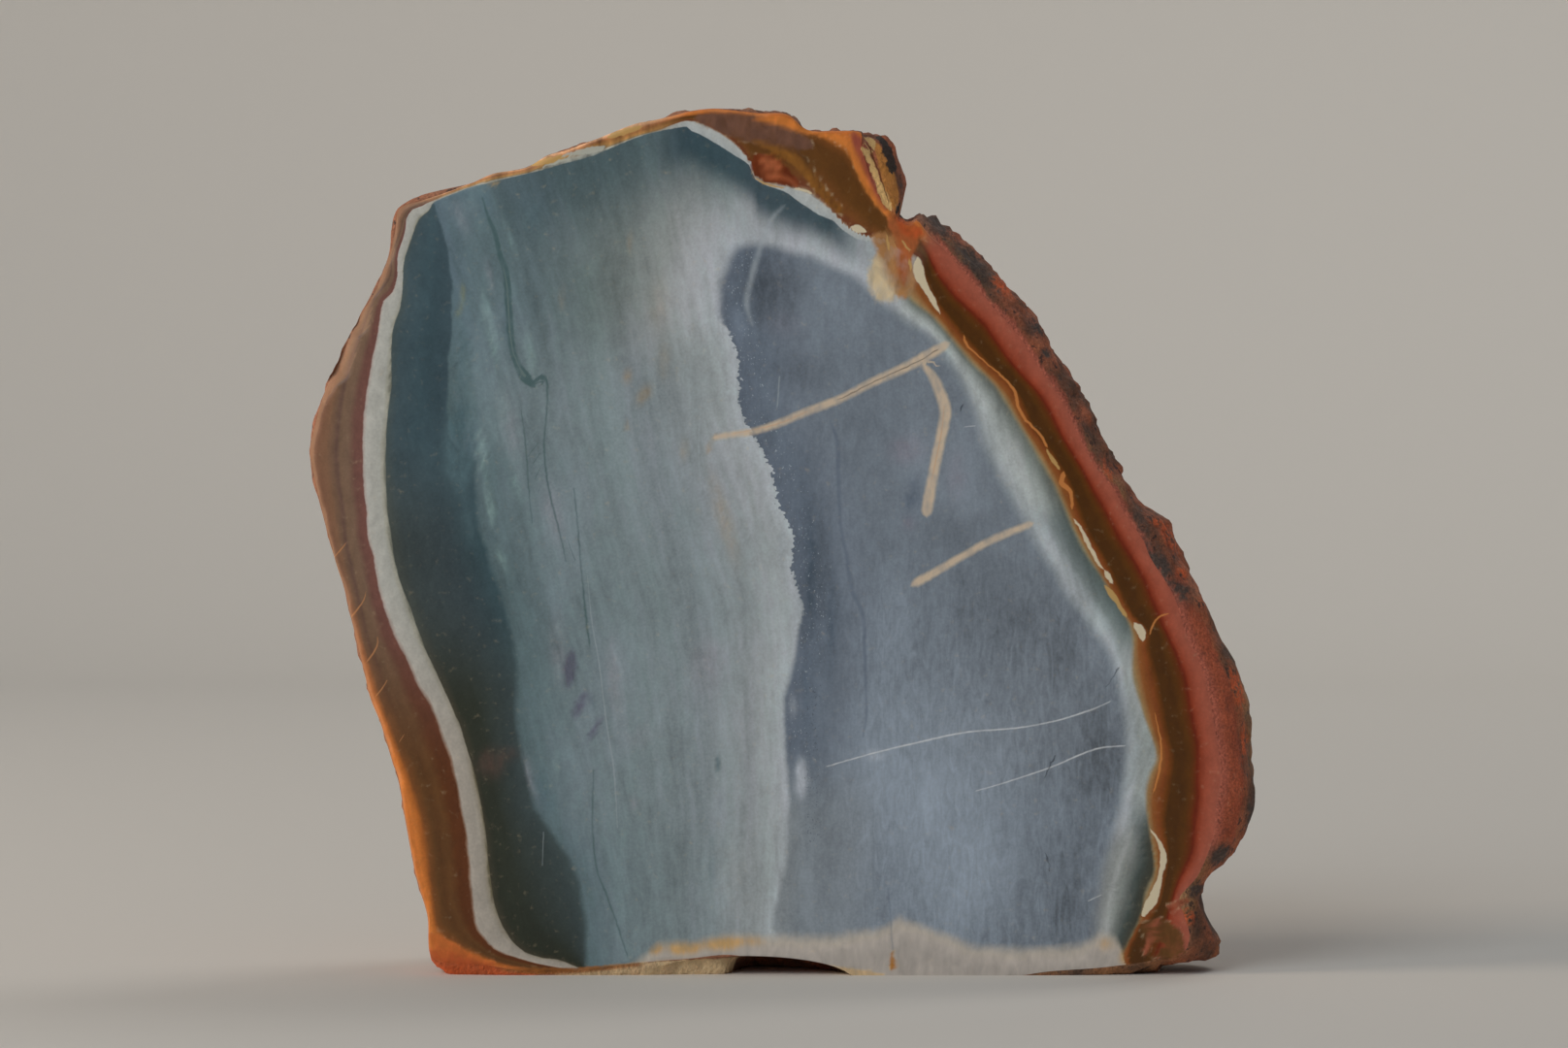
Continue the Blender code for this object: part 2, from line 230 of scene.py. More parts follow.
def bare_form(angles, share):
    """Points of the stone with no lumps, at share -1 (face edge), 0 (girth) to 1 (behind CENTRE).

    Edge to girth: radius = edge + (girth - edge) sin t, depth = D (1 - cos t), a quarter ellipse.
    Girth to back: radius = girth k cos t, depth = D + (T - D) k sin t with
    k = (cos^n t + sin^n t)^(-1/n), a superellipse. It gives way to a broad dome of two parabolas.
    """
    edge = reach(FACE_EDGE, angles)
    girth = np.maximum(reach(GIRTH, angles), edge)
    depth = around(GIRTH_DEPTH, angles) * MM
    power = around(SQUARENESS, angles)

    turn = np.clip(share + 1.0, 0.0, 1.0) * math.pi / 2
    edge_radius = edge + (girth - edge) * np.sin(turn)
    edge_depth = depth * (1.0 - np.cos(turn))

    turn = np.clip(share, 0.0, 1.0) * math.pi / 2
    scale = (np.cos(turn) ** power + np.sin(turn) ** power) ** (-1.0 / power)
    outline = girth + (smooth_reach(angles) - girth) * smoothstep(share / SMOOTH_DEPTH)
    radius = np.where(share < 0.0, edge_radius, outline * scale * np.cos(turn))
    back_depth = depth + (THICKNESS - depth) * scale * np.sin(turn)

    x = CENTRE[0] + radius * np.sin(angles)
    z = CENTRE[1] + radius * np.cos(angles)
    dome = THICKNESS * (
        1.0
        - DOME_DROP[0] * ((x - DOME_TOP[0]) / DOME_HALF[0]) ** 2
        - DOME_DROP[1] * ((z - DOME_TOP[1]) / DOME_HALF[1]) ** 2
    )
    back_depth += (dome - back_depth) * smoothstep((share - DOME_FROM) / (DOME_FULL - DOME_FROM))
    return np.stack([x, FACE_Y + np.where(share < 0.0, edge_depth, back_depth), z], axis=-1)


def lump_height(points, angles, share):
    """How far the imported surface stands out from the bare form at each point, in metres."""
    height = sum(
        lattice_noise(points, cell * MM, LUMP_SEED + n) * size * MM
        for n, (cell, size) in enumerate(LUMPS)
    )
    height = height * around(ROUGHNESS, angles)
    for x, z, radius, size in BACK_FORMS:
        away = np.hypot(points[..., 0] - x * MM, points[..., 2] - z * MM)
        height = height + size * MM * smoothstep(1.0 - away / (radius * MM))
    crags = lattice_noise(points, CRAG_CELL, CRAG_SEED) * CRAG_HEIGHT
    behind_edge = smoothstep((points[..., 1] - FACE_Y) / CRAG_CELL)
    return height * smoothstep(share / LUMP_FROM) + crags * behind_edge


print(f"lumps of {[c for c, _ in LUMPS]} mm, {len(BACK_FORMS)} forms set by hand")

# %% [markdown]
# The small relief of the rind. Natural jasper rind is pitted and craggy, and smooth only where it
# broke along a shell-like fracture. The relief is more value noise, in two sizes, folded at zero so
# that it makes sharp-bottomed pits between rounded knobs. A list says how rough each side is.

# %% Small relief
CRUST = [(2.7, 0.55), (1.35, 0.26)]  # (cell, height), millimetres
CRUST_SEED = 31
CRUST_LOWERED = 0.6  # taken off the folded noise, so that pits reach below the large forms
CRUST_FADE = 2.2 * MM  # behind the face's edge, where the relief grows to its full height
# (angle, how rough the rind is)
CRUST_STRENGTH = rows("0 0.8, 30 1, 75 0.95, 92 0.8, 104 0.35, 122 0.45, 135 0.9, 180 0.7, 250 0.7, 330 0.7")


def crust_height(points, angles):
    """Folded noise: the sum of size * (2 |noise| - 0.6), times the strength in that direction."""
    height = sum(
        (2.0 * np.abs(lattice_noise(points, cell * MM, CRUST_SEED + n)) - CRUST_LOWERED) * size * MM
        for n, (cell, size) in enumerate(CRUST)
    )
    fade = smoothstep((points[..., 1] - FACE_Y) / CRUST_FADE)
    return height * fade * around(CRUST_STRENGTH, angles)


def outward(angles, share):
    """Unit vectors away from the stone: outwards at the girth, turning backwards over the back."""
    lean = np.clip(share, 0.0, 1.0) * math.pi / 2
    across = np.cos(lean)
    return np.stack([np.sin(angles) * across, np.sin(lean), np.cos(angles) * across], axis=-1)


def rind(angles, share):
    """Points of the rind: the bare form, pushed outwards by its lumps and then by its crust."""
    bare = bare_form(angles, share)
    away = outward(angles, share)
    points = bare + away * lump_height(bare, angles, share)[..., None]
    return points + away * crust_height(points, angles)[..., None]


# %% [markdown]
# The edge of the polished face. A sawn edge is never perfect: it is nibbled along the thin left side
# and the top, and larger flakes have broken off. Flakes are made here by pushing the outermost points
# of the face back along a slope, as far in as a list of widths and a little noise allow.

# %% Chipped edge
NIBBLE_CELL, NIBBLE_DEPTH, NIBBLE_SEED = 3.4 * MM, 0.35 * MM, 41
NIBBLE_SHARE = 0.04  # the outer share of the face that gives way to a nibble
FLAKE_SLOPE = 0.75
# (angle, width of the broken edge in millimetres)
FLAKE_WIDTH = rows("""
    0 0.35, 20 0.2, 40 0.03, 180 0.05, 212 0.3, 240 0.45, 262 0.35, 284 0.5, 291 1.9, 297 1.5, 303 0.6,
    330 0.4
""")
FLAKE_CELL, FLAKE_SEED = 2.3 * MM, 43
FLAKE_VARIES = 0.7  # share by which noise widens or narrows the broken edge
NIBBLE_SIDE = rows("0 1, 40 0.3, 190 0.2, 230 1")  # (angle, how strongly the edge is nibbled)


def edge_place(angles):
    """The face's edge as points, for noise that runs along it."""
    radius = reach(FACE_EDGE, angles)
    flat = np.full_like(radius, FACE_Y)
    return np.stack([radius * np.sin(angles), flat, radius * np.cos(angles)], axis=-1)


def flake_width(angles):
    """How far in the edge is broken: the listed width times 0.3 to 1.7 by noise."""
    noise = lattice_noise(edge_place(angles), FLAKE_CELL, FLAKE_SEED)
    return around(FLAKE_WIDTH, angles) * (1.0 + FLAKE_VARIES * noise) * MM


def nibble(angles):
    """How far the edge is eaten inwards: only the upper half of a noise counts."""
    noise = lattice_noise(edge_place(angles), NIBBLE_CELL, NIBBLE_SEED)
    return np.clip(noise, 0.0, 1.0) * NIBBLE_DEPTH * around(NIBBLE_SIDE, angles)


# %% [markdown]
# The mesh. A disc closed with triangles at one point gives a pole with long thin faces. A square grid
# bent into the round has none, so both the face and the back are square grids of CELLS by CELLS
# cells, and rings of 4 * CELLS points join their rims.

# %% Grids and rings
CELLS = 176
ROUND = 4 * CELLS  # points in each ring
GRID_FROM = 0.44  # share of the way over the back at which the back's grid begins
EDGE_ROWS, BACK_ROWS = 28, 23
TINY = 1e-6
FACE_CROWD, FACE_POWER = 0.62, 6.0  # how much closer the face's rows lie at its edge


def spoke_angle(turn):
    """The spoke's direction at turn, 0 to 1 clockwise round the face's edge by its length."""
    curve = closed_curve(FACE_EDGE)
    length = np.hypot(*(np.roll(curve, -1, 0) - curve).T)
    along = np.concatenate([[0.0], np.cumsum(length)])
    unwrapped = np.unwrap(clock_angle(np.vstack([curve, curve[:1]])))
    return np.interp(turn * along[-1], along, unwrapped)


def square_place(u, v):
    """(turn, how far out) of a point of the square from -1 to 1. The turn starts at the lower left."""
    out = np.maximum(np.maximum(np.abs(u), np.abs(v)), TINY)
    u, v = u / out, v / out
    sides = [u <= -1.0 + TINY, v >= 1.0 - TINY, u >= 1.0 - TINY]
    turns = [(v + 1.0) / 8, (u + 3.0) / 8, (5.0 - v) / 8]
    return np.select(sides, turns, (7.0 - u) / 8) % 1.0, out


def face_points(turn, out):
    """Points of the polished face: radius = edge * f(out), with f = 1 - (1 - out)(1 - c out^n).

    The outer share is nibbled inwards, and the broken edge slopes back.
    """
    angles = spoke_angle(turn)
    edge = reach(FACE_EDGE, angles)
    share = 1.0 - (1.0 - out) * (1.0 - FACE_CROWD * out**FACE_POWER)
    inset = edge * (1.0 - share)
    radius = edge * share - nibble(angles) * smoothstep((share - 1.0 + NIBBLE_SHARE) / NIBBLE_SHARE)
    back = np.clip(flake_width(angles) - inset, 0.0, None) * FLAKE_SLOPE
    x = CENTRE[0] + radius * np.sin(angles)
    z = CENTRE[1] + radius * np.cos(angles)
    return np.stack([x, FACE_Y + back, z], axis=-1), back


def rind_points(turn, share):
    """Points of the rind that start from the broken, nibbled edge instead of the perfect one."""
    angles = spoke_angle(turn)
    points = rind(angles, share)
    depth = around(GIRTH_DEPTH, angles) * MM
    start = flake_width(angles) * FLAKE_SLOPE
    ahead = np.clip(-share, 0.0, 1.0)
    points[..., 1] += np.where(share < 0.0, start * (1.0 - (points[..., 1] - FACE_Y) / depth), 0.0)
    inward = nibble(angles) * smoothstep(ahead)
    points[..., 0] -= np.sin(angles) * inward
    points[..., 2] -= np.cos(angles) * inward
    return points


# %% [markdown]
# The ground base and the broken hollow. The stone stands on z = 0. Cutting a fine mesh with a Boolean
# would leave slivers, so every point below the ground is lifted to it instead, and points under the
# hollow, an ellipsoid at the front edge, are lifted to its roof.

# %% Lift to the ground
HOLLOW_MIDDLE = (-0.0060, FACE_Y, -0.0008)
HOLLOW_HALF = (0.0170, 0.0125, 0.0039)
SHELF_DEPTH, SHELF_END, SHELF_FADE = 0.0016, -0.0100, 0.0050  # its left part is a shallow broken shelf


def lift_to_ground(points):
    """z = max(z, roof), where the roof is 0 or the ellipsoid m + h sqrt(1 - dx^2 - dy^2)."""
    dx = (points[:, 0] - HOLLOW_MIDDLE[0]) / HOLLOW_HALF[0]
    opens = smoothstep((points[:, 0] - SHELF_END) / SHELF_FADE)
    dy = (points[:, 1] - HOLLOW_MIDDLE[1]) / (SHELF_DEPTH + (HOLLOW_HALF[1] - SHELF_DEPTH) * opens)
    inside = np.clip(1.0 - dx**2 - dy**2, 0.0, None)
    roof = np.where(inside > 0.0, HOLLOW_MIDDLE[2] + HOLLOW_HALF[2] * np.sqrt(inside), 0.0)
    points[:, 2] = np.maximum(points[:, 2], np.maximum(roof, 0.0))
    return points


def grid_indices(first, rim):
    """Point numbers of a square grid whose rim is the ring numbered rim and whose inside is new."""
    steps = np.linspace(-1.0, 1.0, CELLS + 1)
    u, v = np.meshgrid(steps, steps, indexing="ij")
    turn, out = square_place(u, v)
    index = np.zeros((CELLS + 1, CELLS + 1), int)
    index[1:-1, 1:-1] = first + np.arange((CELLS - 1) ** 2).reshape(CELLS - 1, CELLS - 1)
    edge = np.maximum(np.abs(u), np.abs(v)) > 1.0 - TINY
    index[edge] = rim + np.rint(turn[edge] * ROUND).astype(int) % ROUND
    return index, turn[1:-1, 1:-1].ravel(), out[1:-1, 1:-1].ravel()


def quads(index, flip=False):
    """Faces of a grid of point numbers, counter-clockwise for rising first and second index."""
    corners = [index[:-1, :-1], index[1:, :-1], index[1:, 1:], index[:-1, 1:]]
    faces = np.stack([c.ravel() for c in corners], axis=1)
    return faces[:, ::-1] if flip else faces


# %% [markdown]
# All points and faces. Rings run from the edge of the face over the girth to the back. One square grid
# closes them in front and another behind, each sharing its rim with a ring, so the mesh has no seam.

# %% Points and faces
ring_turn = np.arange(ROUND) / ROUND
edge_shares = np.linspace(-1.0, 0.0, EDGE_ROWS + 1)
back_shares = np.linspace(0.0, GRID_FROM, BACK_ROWS + 1)[1:]
ring_shares = np.concatenate([edge_shares, back_shares])
ROWS = len(ring_shares)

rings = rind_points(np.tile(ring_turn, ROWS), np.repeat(ring_shares, ROUND))
rings[:ROUND], rim_back = face_points(ring_turn, np.ones(ROUND))
face_index, face_turn, face_out = grid_indices(ROWS * ROUND, 0)
face_inside, face_back = face_points(face_turn, face_out)
back_start = ROWS * ROUND + len(face_inside)
back_index, back_turn, back_out = grid_indices(back_start, (ROWS - 1) * ROUND)
back_inside = rind_points(back_turn, 1.0 - back_out * (1.0 - GRID_FROM))

points = lift_to_ground(np.vstack([rings, face_inside, back_inside]))
ring_index = np.arange(ROWS * ROUND).reshape(ROWS, ROUND)
ring_index = np.hstack([ring_index, ring_index[:, :1]])
faces = np.vstack([quads(face_index), quads(ring_index, flip=True), quads(back_index, flip=True)])
print(f"{len(points)} points, {2 * len(faces)} triangles")

# %% [markdown]
# The stone as an object. Its shading is smooth, as the rind and the polish are, but edges that bend
# sharply, such as the sawn one, stay crisp.

# %% Stone object
SHARP_ANGLE = 38.0  # edges that bend more than this stay crisp
stone_mesh = bpy.data.meshes.new("jasper_stone")
stone_mesh.from_pydata(points, [], faces.tolist())
stone_mesh.validate()
stone_mesh.shade_smooth()
stone_mesh.set_sharp_from_angle(angle=math.radians(SHARP_ANGLE))
stone = add_object("jasper_stone", stone_mesh)
print("stone:", show((points.min(0), points.max(0))))

# %% [markdown]
# Colours are written as they look on the polished face, 0 to 255 a channel, and are divided by the
# light that falls there to get the stone's own colour. Some are laid in whole arrays, one row of
# colour for each point of the mesh. That is enough for soft changes, while sharp borders and fine
# grain are left to the material.

# %% Colours
FACE_LIGHT = 0.46  # how bright a white surface looks where the polished face is
FACE_GLOSS = 0.0055  # what the gloss adds everywhere
RIND_LIGHT = 0.32
MOST_REFLECTED = 0.95  # no stone colour reflects more than this
LEAST_REFLECTED = 0.002


def linear(value):
    """Display value 0-255 to linear light: ((c + 0.055) / 1.055)^2.4, or c / 12.92 near black."""
    c = value / 255.0
    return c / 12.92 if c <= 0.04045 else ((c + 0.055) / 1.055) ** 2.4


def tone(red, green, blue, light=FACE_LIGHT):
    """The stone's own colour for a colour as it is seen in that light.

    Where a channel would pass MOST_REFLECTED, all three are lowered alike.
    """
    own = [(linear(v) - FACE_GLOSS) / light for v in (red, green, blue)]
    over = max(1.0, max(own) / MOST_REFLECTED)
    return tuple(max(v / over, LEAST_REFLECTED) for v in own) + (1.0,)


def seen_on_rind(*seen):
    """The stone's own colour for a colour as it is seen on the rind, which turns from the light."""
    return tone(*seen, RIND_LIGHT)


def eased(value, start, end):
    """0 where value is at start, 1 where it is at end, smoothstep between."""
    return smoothstep((value - start) / (end - start))


def ramp_rows(value, stops):
    """A row of colour for each value, blended straight from stop to stop, "value red green blue"."""
    places = [place for place, *_ in rows(stops)]
    colours = [tone(*seen) for _, *seen in rows(stops)]
    return np.stack([np.interp(value, places, [c[i] for c in colours]) for i in range(3)], axis=-1)


def blend(below, above, share):
    """below + (above - below) * share, with a share for each row."""
    return below + (np.asarray(above)[..., :3] - below) * share[:, None]


def way_between(a, b):
    """Share of the way from the border where a is 0 to the border where b is 0."""
    a, b = np.maximum(a, 0.001), np.maximum(b, 0.001)
    return a / (a + b)


def lay_over(colour, cover, above, share):
    """(colour, cover) after one more coat: colours mix by what each coat leaves to be seen."""
    left = cover * (1.0 - share)
    total = left + share
    weight = np.where(total > 0.0, share / np.maximum(total, 1e-6), 0.0)
    return blend(colour, above, weight), total


# %% [markdown]
# Where the colours lie. The bands of a jasper nodule follow its shell: a white or ochre layer, a
# brown layer and an outer copper or salmon layer surround the blue core. A picture could carry them,
# but a few curves are enough: each point of the face stores how far it lies from each border, and the
# material turns those distances into colours. The curves below are given in millimetres.

# %% Borders of the layers
CORE_BORDER = rows("""
    -35.5 2.3, -40.6 3.4, -44.2 6.7, -46.3 11.6, -47.1 16.6, -47.6 22, -48.7 28.8, -51 38, -52.9 42.6,
    -54.9 47.1, -57.8 53.3, -60.1 59.7, -61.5 63.4, -62.5 67.7, -63.4 74.6, -63.7 82.2, -63.4 87.9,
    -62.9 93.8, -62.6 102.3, -61.4 106.2, -60.9 109.3, -60.8 114.1, -59.7 117.2, -58.4 120.7, -56.7 122.1,
    -55.8 123.4, -50.8 125.7, -45.9 126.9, -41.4 127.9, -35.5 129.6, -31.5 130.6, -25.9 132.8, -21.7 134.4,
    -16.1 135.5, -14.7 134.7, -12.2 133.6, -8.1 131.1, -5.3 129.1, -4.7 127.3, -2.4 126, 0.4 125,
    2.6 123.4, 5.5 121.5, 8 120.5, 9.2 119.3, 11.9 117.7, 14.6 117.2, 17.1 116.6, 17.7 113.9, 18.5 111.2,
    19.8 108.3, 23.9 104.9, 27.1 101.2, 30.1 97.7, 33.8 93.9, 36.7 89.3, 40 83.9, 43.2 78.1, 47 69.6,
    50.7 63.4, 54.2 57.8, 55.6 54.2, 55.6 48.4, 57.2 42.2, 59.4 35.3, 58.3 32.1, 57.7 28.7, 58.3 23.2,
    59.2 17.1, 57.8 13.3, 57 9.3, 55 5.4, 53.9 3.1, 53.3 -1.6, 26.7 -2.3, 0 -2.3, -24.5 -1.1, -31.5 0.8
""")
WHITE_BORDER = rows("""
    -33.8 0.8, -37.2 1.4, -41.9 2.5, -46 3.9, -48 6, -49.4 8.4, -50.2 16.6, -50.8 22, -51.8 27.4,
    -53.3 34.6, -54.7 38.3, -56.1 42.6, -58.7 47.4, -60.7 51.8, -62.8 56.6, -64.4 61.2, -65.3 65.9,
    -66.2 70.1, -66.9 76.7, -67.2 84.3, -67 89.1, -66.4 93.8, -65.7 97.7, -64.8 102.3, -64.2 107.4,
    -62.5 109, -61.7 111.8, -61.6 115.2, -60.6 118.6, -60 121.8, -57.5 123.1, -56 123.9, -50.8 125.9,
    -46.2 127.2, -41.4 128.2, -38.4 129.2, -34.7 130.9, -31.5 132, -28.1 132.5, -23.7 133.9, -19.2 135.3,
    -15 136.7, -11.2 135.3, -8.1 133.1, -5.6 130, -4.9 127.6, -2.5 126.4, 0.4 126, 3.3 125.3, 6.2 123.6,
    7.7 122, 8.5 120.9, 9.6 119.8, 12.1 118.1, 14.8 117.6, 17.6 116.6, 20.5 115.2, 22.1 114.2, 22.6 111.8,
    24.1 108.3, 25.7 105.9, 28.8 102.1, 31.3 99.2, 34.7 95.9, 37.7 92.1, 39.4 88, 41.9 84.6, 45.4 78.9,
    47.5 72.9, 49.3 69.6, 51.9 65.3, 53.9 60.3, 55.8 57.2, 58 55, 58.1 51.6, 59.8 45.4, 61.2 38, 61.8 34.7,
    60.8 27.6, 60.5 24.3, 61.2 19.4, 60.3 12.4, 58.9 9.9, 56.7 7.8, 54.9 3.1, 54.1 -1.7, 26.7 -3.3, 0 -3.3,
    -24.5 -2.3, -31.5 -0.5
""")
MANTLE_BORDER = rows("""
    -38.4 0.5, -43.7 1.6, -46.3 2.3, -49.3 3.7, -52.9 5.7, -55.2 7.9, -56.1 11.6, -56.6 16.6, -56.9 20.9,
    -57.8 25.3, -59.4 30.7, -61.8 36.9, -63.7 41.9, -65.4 47.3, -67.6 55, -70.2 66.7, -71.9 76.7,
    -72.5 82.9, -72.2 88.3, -71.1 93.8, -69.3 100.3, -67.3 105.4, -65.1 109.3, -63.2 111.8, -62.8 115.2,
    -61.5 118.6, -60.6 121.5, -58.6 123.1, -56.1 124, -51 126.1, -46.7 127.6, -41.2 128.7, -37.7 130.1,
    -33.8 131.4, -31 132.8, -23.9 134.8, -16.7 137, -11.3 137.5, -5 137, -0.6 135.6, 4.7 134.3, 8.3 132.2,
    10.2 130.4, 13 125.9, 15.7 122, 17.7 120.1, 20.5 118.6, 22.6 116.2, 24.6 112.2, 27.1 108.8, 31.8 104.6,
    35 100, 38.1 95.9, 41.7 91.8, 44.6 86, 48.8 78.9, 51.9 73.6, 54.7 68.5, 57.4 63.9, 59.4 58.9,
    60.6 56.3, 62.8 51.6, 64.5 46.2, 66 38, 66.3 31.8, 66 25, 65.1 19.1, 62.8 13.9, 61.5 10.1, 60.8 7,
    59.5 2.3, 58.6 -0.8, 26.7 -4.2, 0 -4.2, -24.5 -3.6, -32.2 -1.7
""")
MOST_LAYER = 3.4


def layer_value(x, z):
    """(depth, layer) of each point. depth is millimetres inside the core's border, negative outside.

    layer rises evenly along each spoke: 0 at the core's border, 1 at the white layer's outer border,
    2 where the brown layer ends and 3 at the edge of the face.
    """
    here = np.stack([x, z], axis=-1)
    angles = clock_angle(here)
    distance = np.hypot(x - CENTRE[0], z - CENTRE[1])
    core, white, mantle, edge = (
        reach(border, angles) for border in (CORE_BORDER, WHITE_BORDER, MANTLE_BORDER, FACE_EDGE)
    )
    layer = np.zeros_like(distance)
    for start, end in ((core, white), (white, mantle), (mantle, edge)):
        layer += np.clip((distance - start) / np.maximum(end - start, 0.1 * MM), 0.0, 1.0)
    layer += np.clip((distance - np.maximum(edge, core)) / MM, 0.0, MOST_LAYER - 3.0)
    return (core - distance) / MM, layer


# %% [markdown]
# The zones inside the core: a dark band on the left, a teal half, a slate half with a ragged border
# and a tan haze along the bottom. For a closed zone the distance to its outline is measured exactly:
# each point is dropped on to every straight piece of the outline, and the shortest drop counts.

# %% Zones of the core
DARK_BORDER = rows("""
    -56.7 137.2, -56 124.8, -53.8 117.2, -52.9 111.1, -53 102.3, -53.8 90.7, -53.6 86, -49.4 82,
    -49.1 76.1, -48.2 69.6, -45.6 62.5, -43.7 55, -42.8 48.8, -42.5 40.8, -41.5 33.3, -39.8 26.5,
    -36.1 21.7, -34.1 18.6, -32.5 13.9, -31.8 7, -31.3 -0.8
""")
SLATE_OUTLINE = rows("""
    -0.5 4.7, 0 16.3, 0.6 24, 0.3 31.8, 0 41.1, 0.6 47.3, 2.6 56.6, 2.8 59.4, 1.6 65.6, 1.1 71, -0.9 76,
    -2.2 81.4, -4.7 85.6, -6.8 90.5, -7.1 96.7, -8.4 102.1, -10.1 105.1, -9.9 110.8, -8.4 115.8,
    -5.6 117.2, -2 116.6, 6 114.2, 11.2 111.9, 16.4 107.1, 20.6 103.8, 23.9 101.4, 27.3 96.7, 30.2 90.5,
    33 82.3, 36.4 76, 38.9 71.9, 43.1 64.8, 47.1 58.4, 52.4 50.4, 54.2 42.6, 54.6 34.9, 54 27.9, 51.6 19.4,
    50.1 11.6, 49.8 6.7, 48.4 0.8, 22 -1.6
""")
SLATE_LEFT_POINTS = 19  # the first points of the outline, up its left side
HAZE_BORDER = rows("""
    -38.4 -0.8, -26 0.3, -22.2 3.1, -19.8 5, -14.9 4.8, -9.8 6, -5.7 6.5, -2.8 5.9, 6.5 6, 14.3 6.8,
    18.4 8.8, 22.6 7.4, 28.8 5, 35 4, 43.2 3.9, 47.4 4.7, 50.8 6.4, 53.3 5.6, 55.5 0.8, 57.7 -0.8
""")
# two lines that the fine streaks follow, from top to bottom
GRAIN_LEFT = rows("""
    -58 137, -51 120, -47 110, -44.5 100, -42.5 90, -40 80, -37.5 70, -35 60, -32.5 50, -30.5 40, -28.5 30,
    -27 20, -25.5 10, -24.5 0
""")
GRAIN_RIGHT = rows("-14 137, -11 110, -8.5 90, -5 75, -1 60, 0 45, 0 0")
GRAIN_GAP = 32.0  # their usual distance, in millimetres
OUTLINE_STEPS = 4
LINE_STEPS = 6


def drop_on(x, z, start, end):
    """(squared distance, share along, side) of each point to one straight piece.

    share = (p - a).(b - a) / |b - a|^2, and side is the sign of the cross product, + on the left.
    """
    dx, dz = end - start
    length = max(dx * dx + dz * dz, 1e-18)
    share = ((x - start[0]) * dx + (z - start[1]) * dz) / length
    held = np.clip(share, 0.0, 1.0)
    off_x, off_z = x - start[0] - held * dx, z - start[1] - held * dz
    return off_x**2 + off_z**2, share, dx * (z - start[1]) - dz * (x - start[0])


def inside_distance(x, z, outline):
    """Millimetres from each point to the closed outline, + inside and - outside.

    A point is inside if a level ray from it crosses the outline an odd number of times.
    """
    curve = closed_curve(outline, OUTLINE_STEPS)
    nearest = np.full(x.shape, np.inf)
    inside = np.zeros(x.shape, bool)
    for start, end in zip(curve, np.roll(curve, -1, 0)):
        squared, _, _ = drop_on(x, z, start, end)
        nearest = np.minimum(nearest, squared)
        crosses = (start[1] > z) != (end[1] > z)
        rise = end[1] - start[1] if abs(end[1] - start[1]) > TINY * MM else TINY * MM
        inside ^= crosses & (x < start[0] + (z - start[1]) / rise * (end[0] - start[0]))
    return np.where(inside, 1.0, -1.0) * np.sqrt(nearest) / MM


def level_gap(z, border):
    """x of a border at each height z, in metres."""
    xs, zs = np.array(border).T * MM
    order = np.argsort(zs)
    return np.interp(z, zs[order], xs[order])


def haze_height(x):
    """Height of the tan haze's upper border at each x, in metres."""
    xs, zs = np.array(HAZE_BORDER).T * MM
    return np.interp(x, xs, zs)


def grain_place(x, z):
    """Millimetres across the grain: the share of the way between its two lines, times their gap."""
    left, right = level_gap(z, GRAIN_LEFT), level_gap(z, GRAIN_RIGHT)
    return (x - left) / (right - left) * GRAIN_GAP
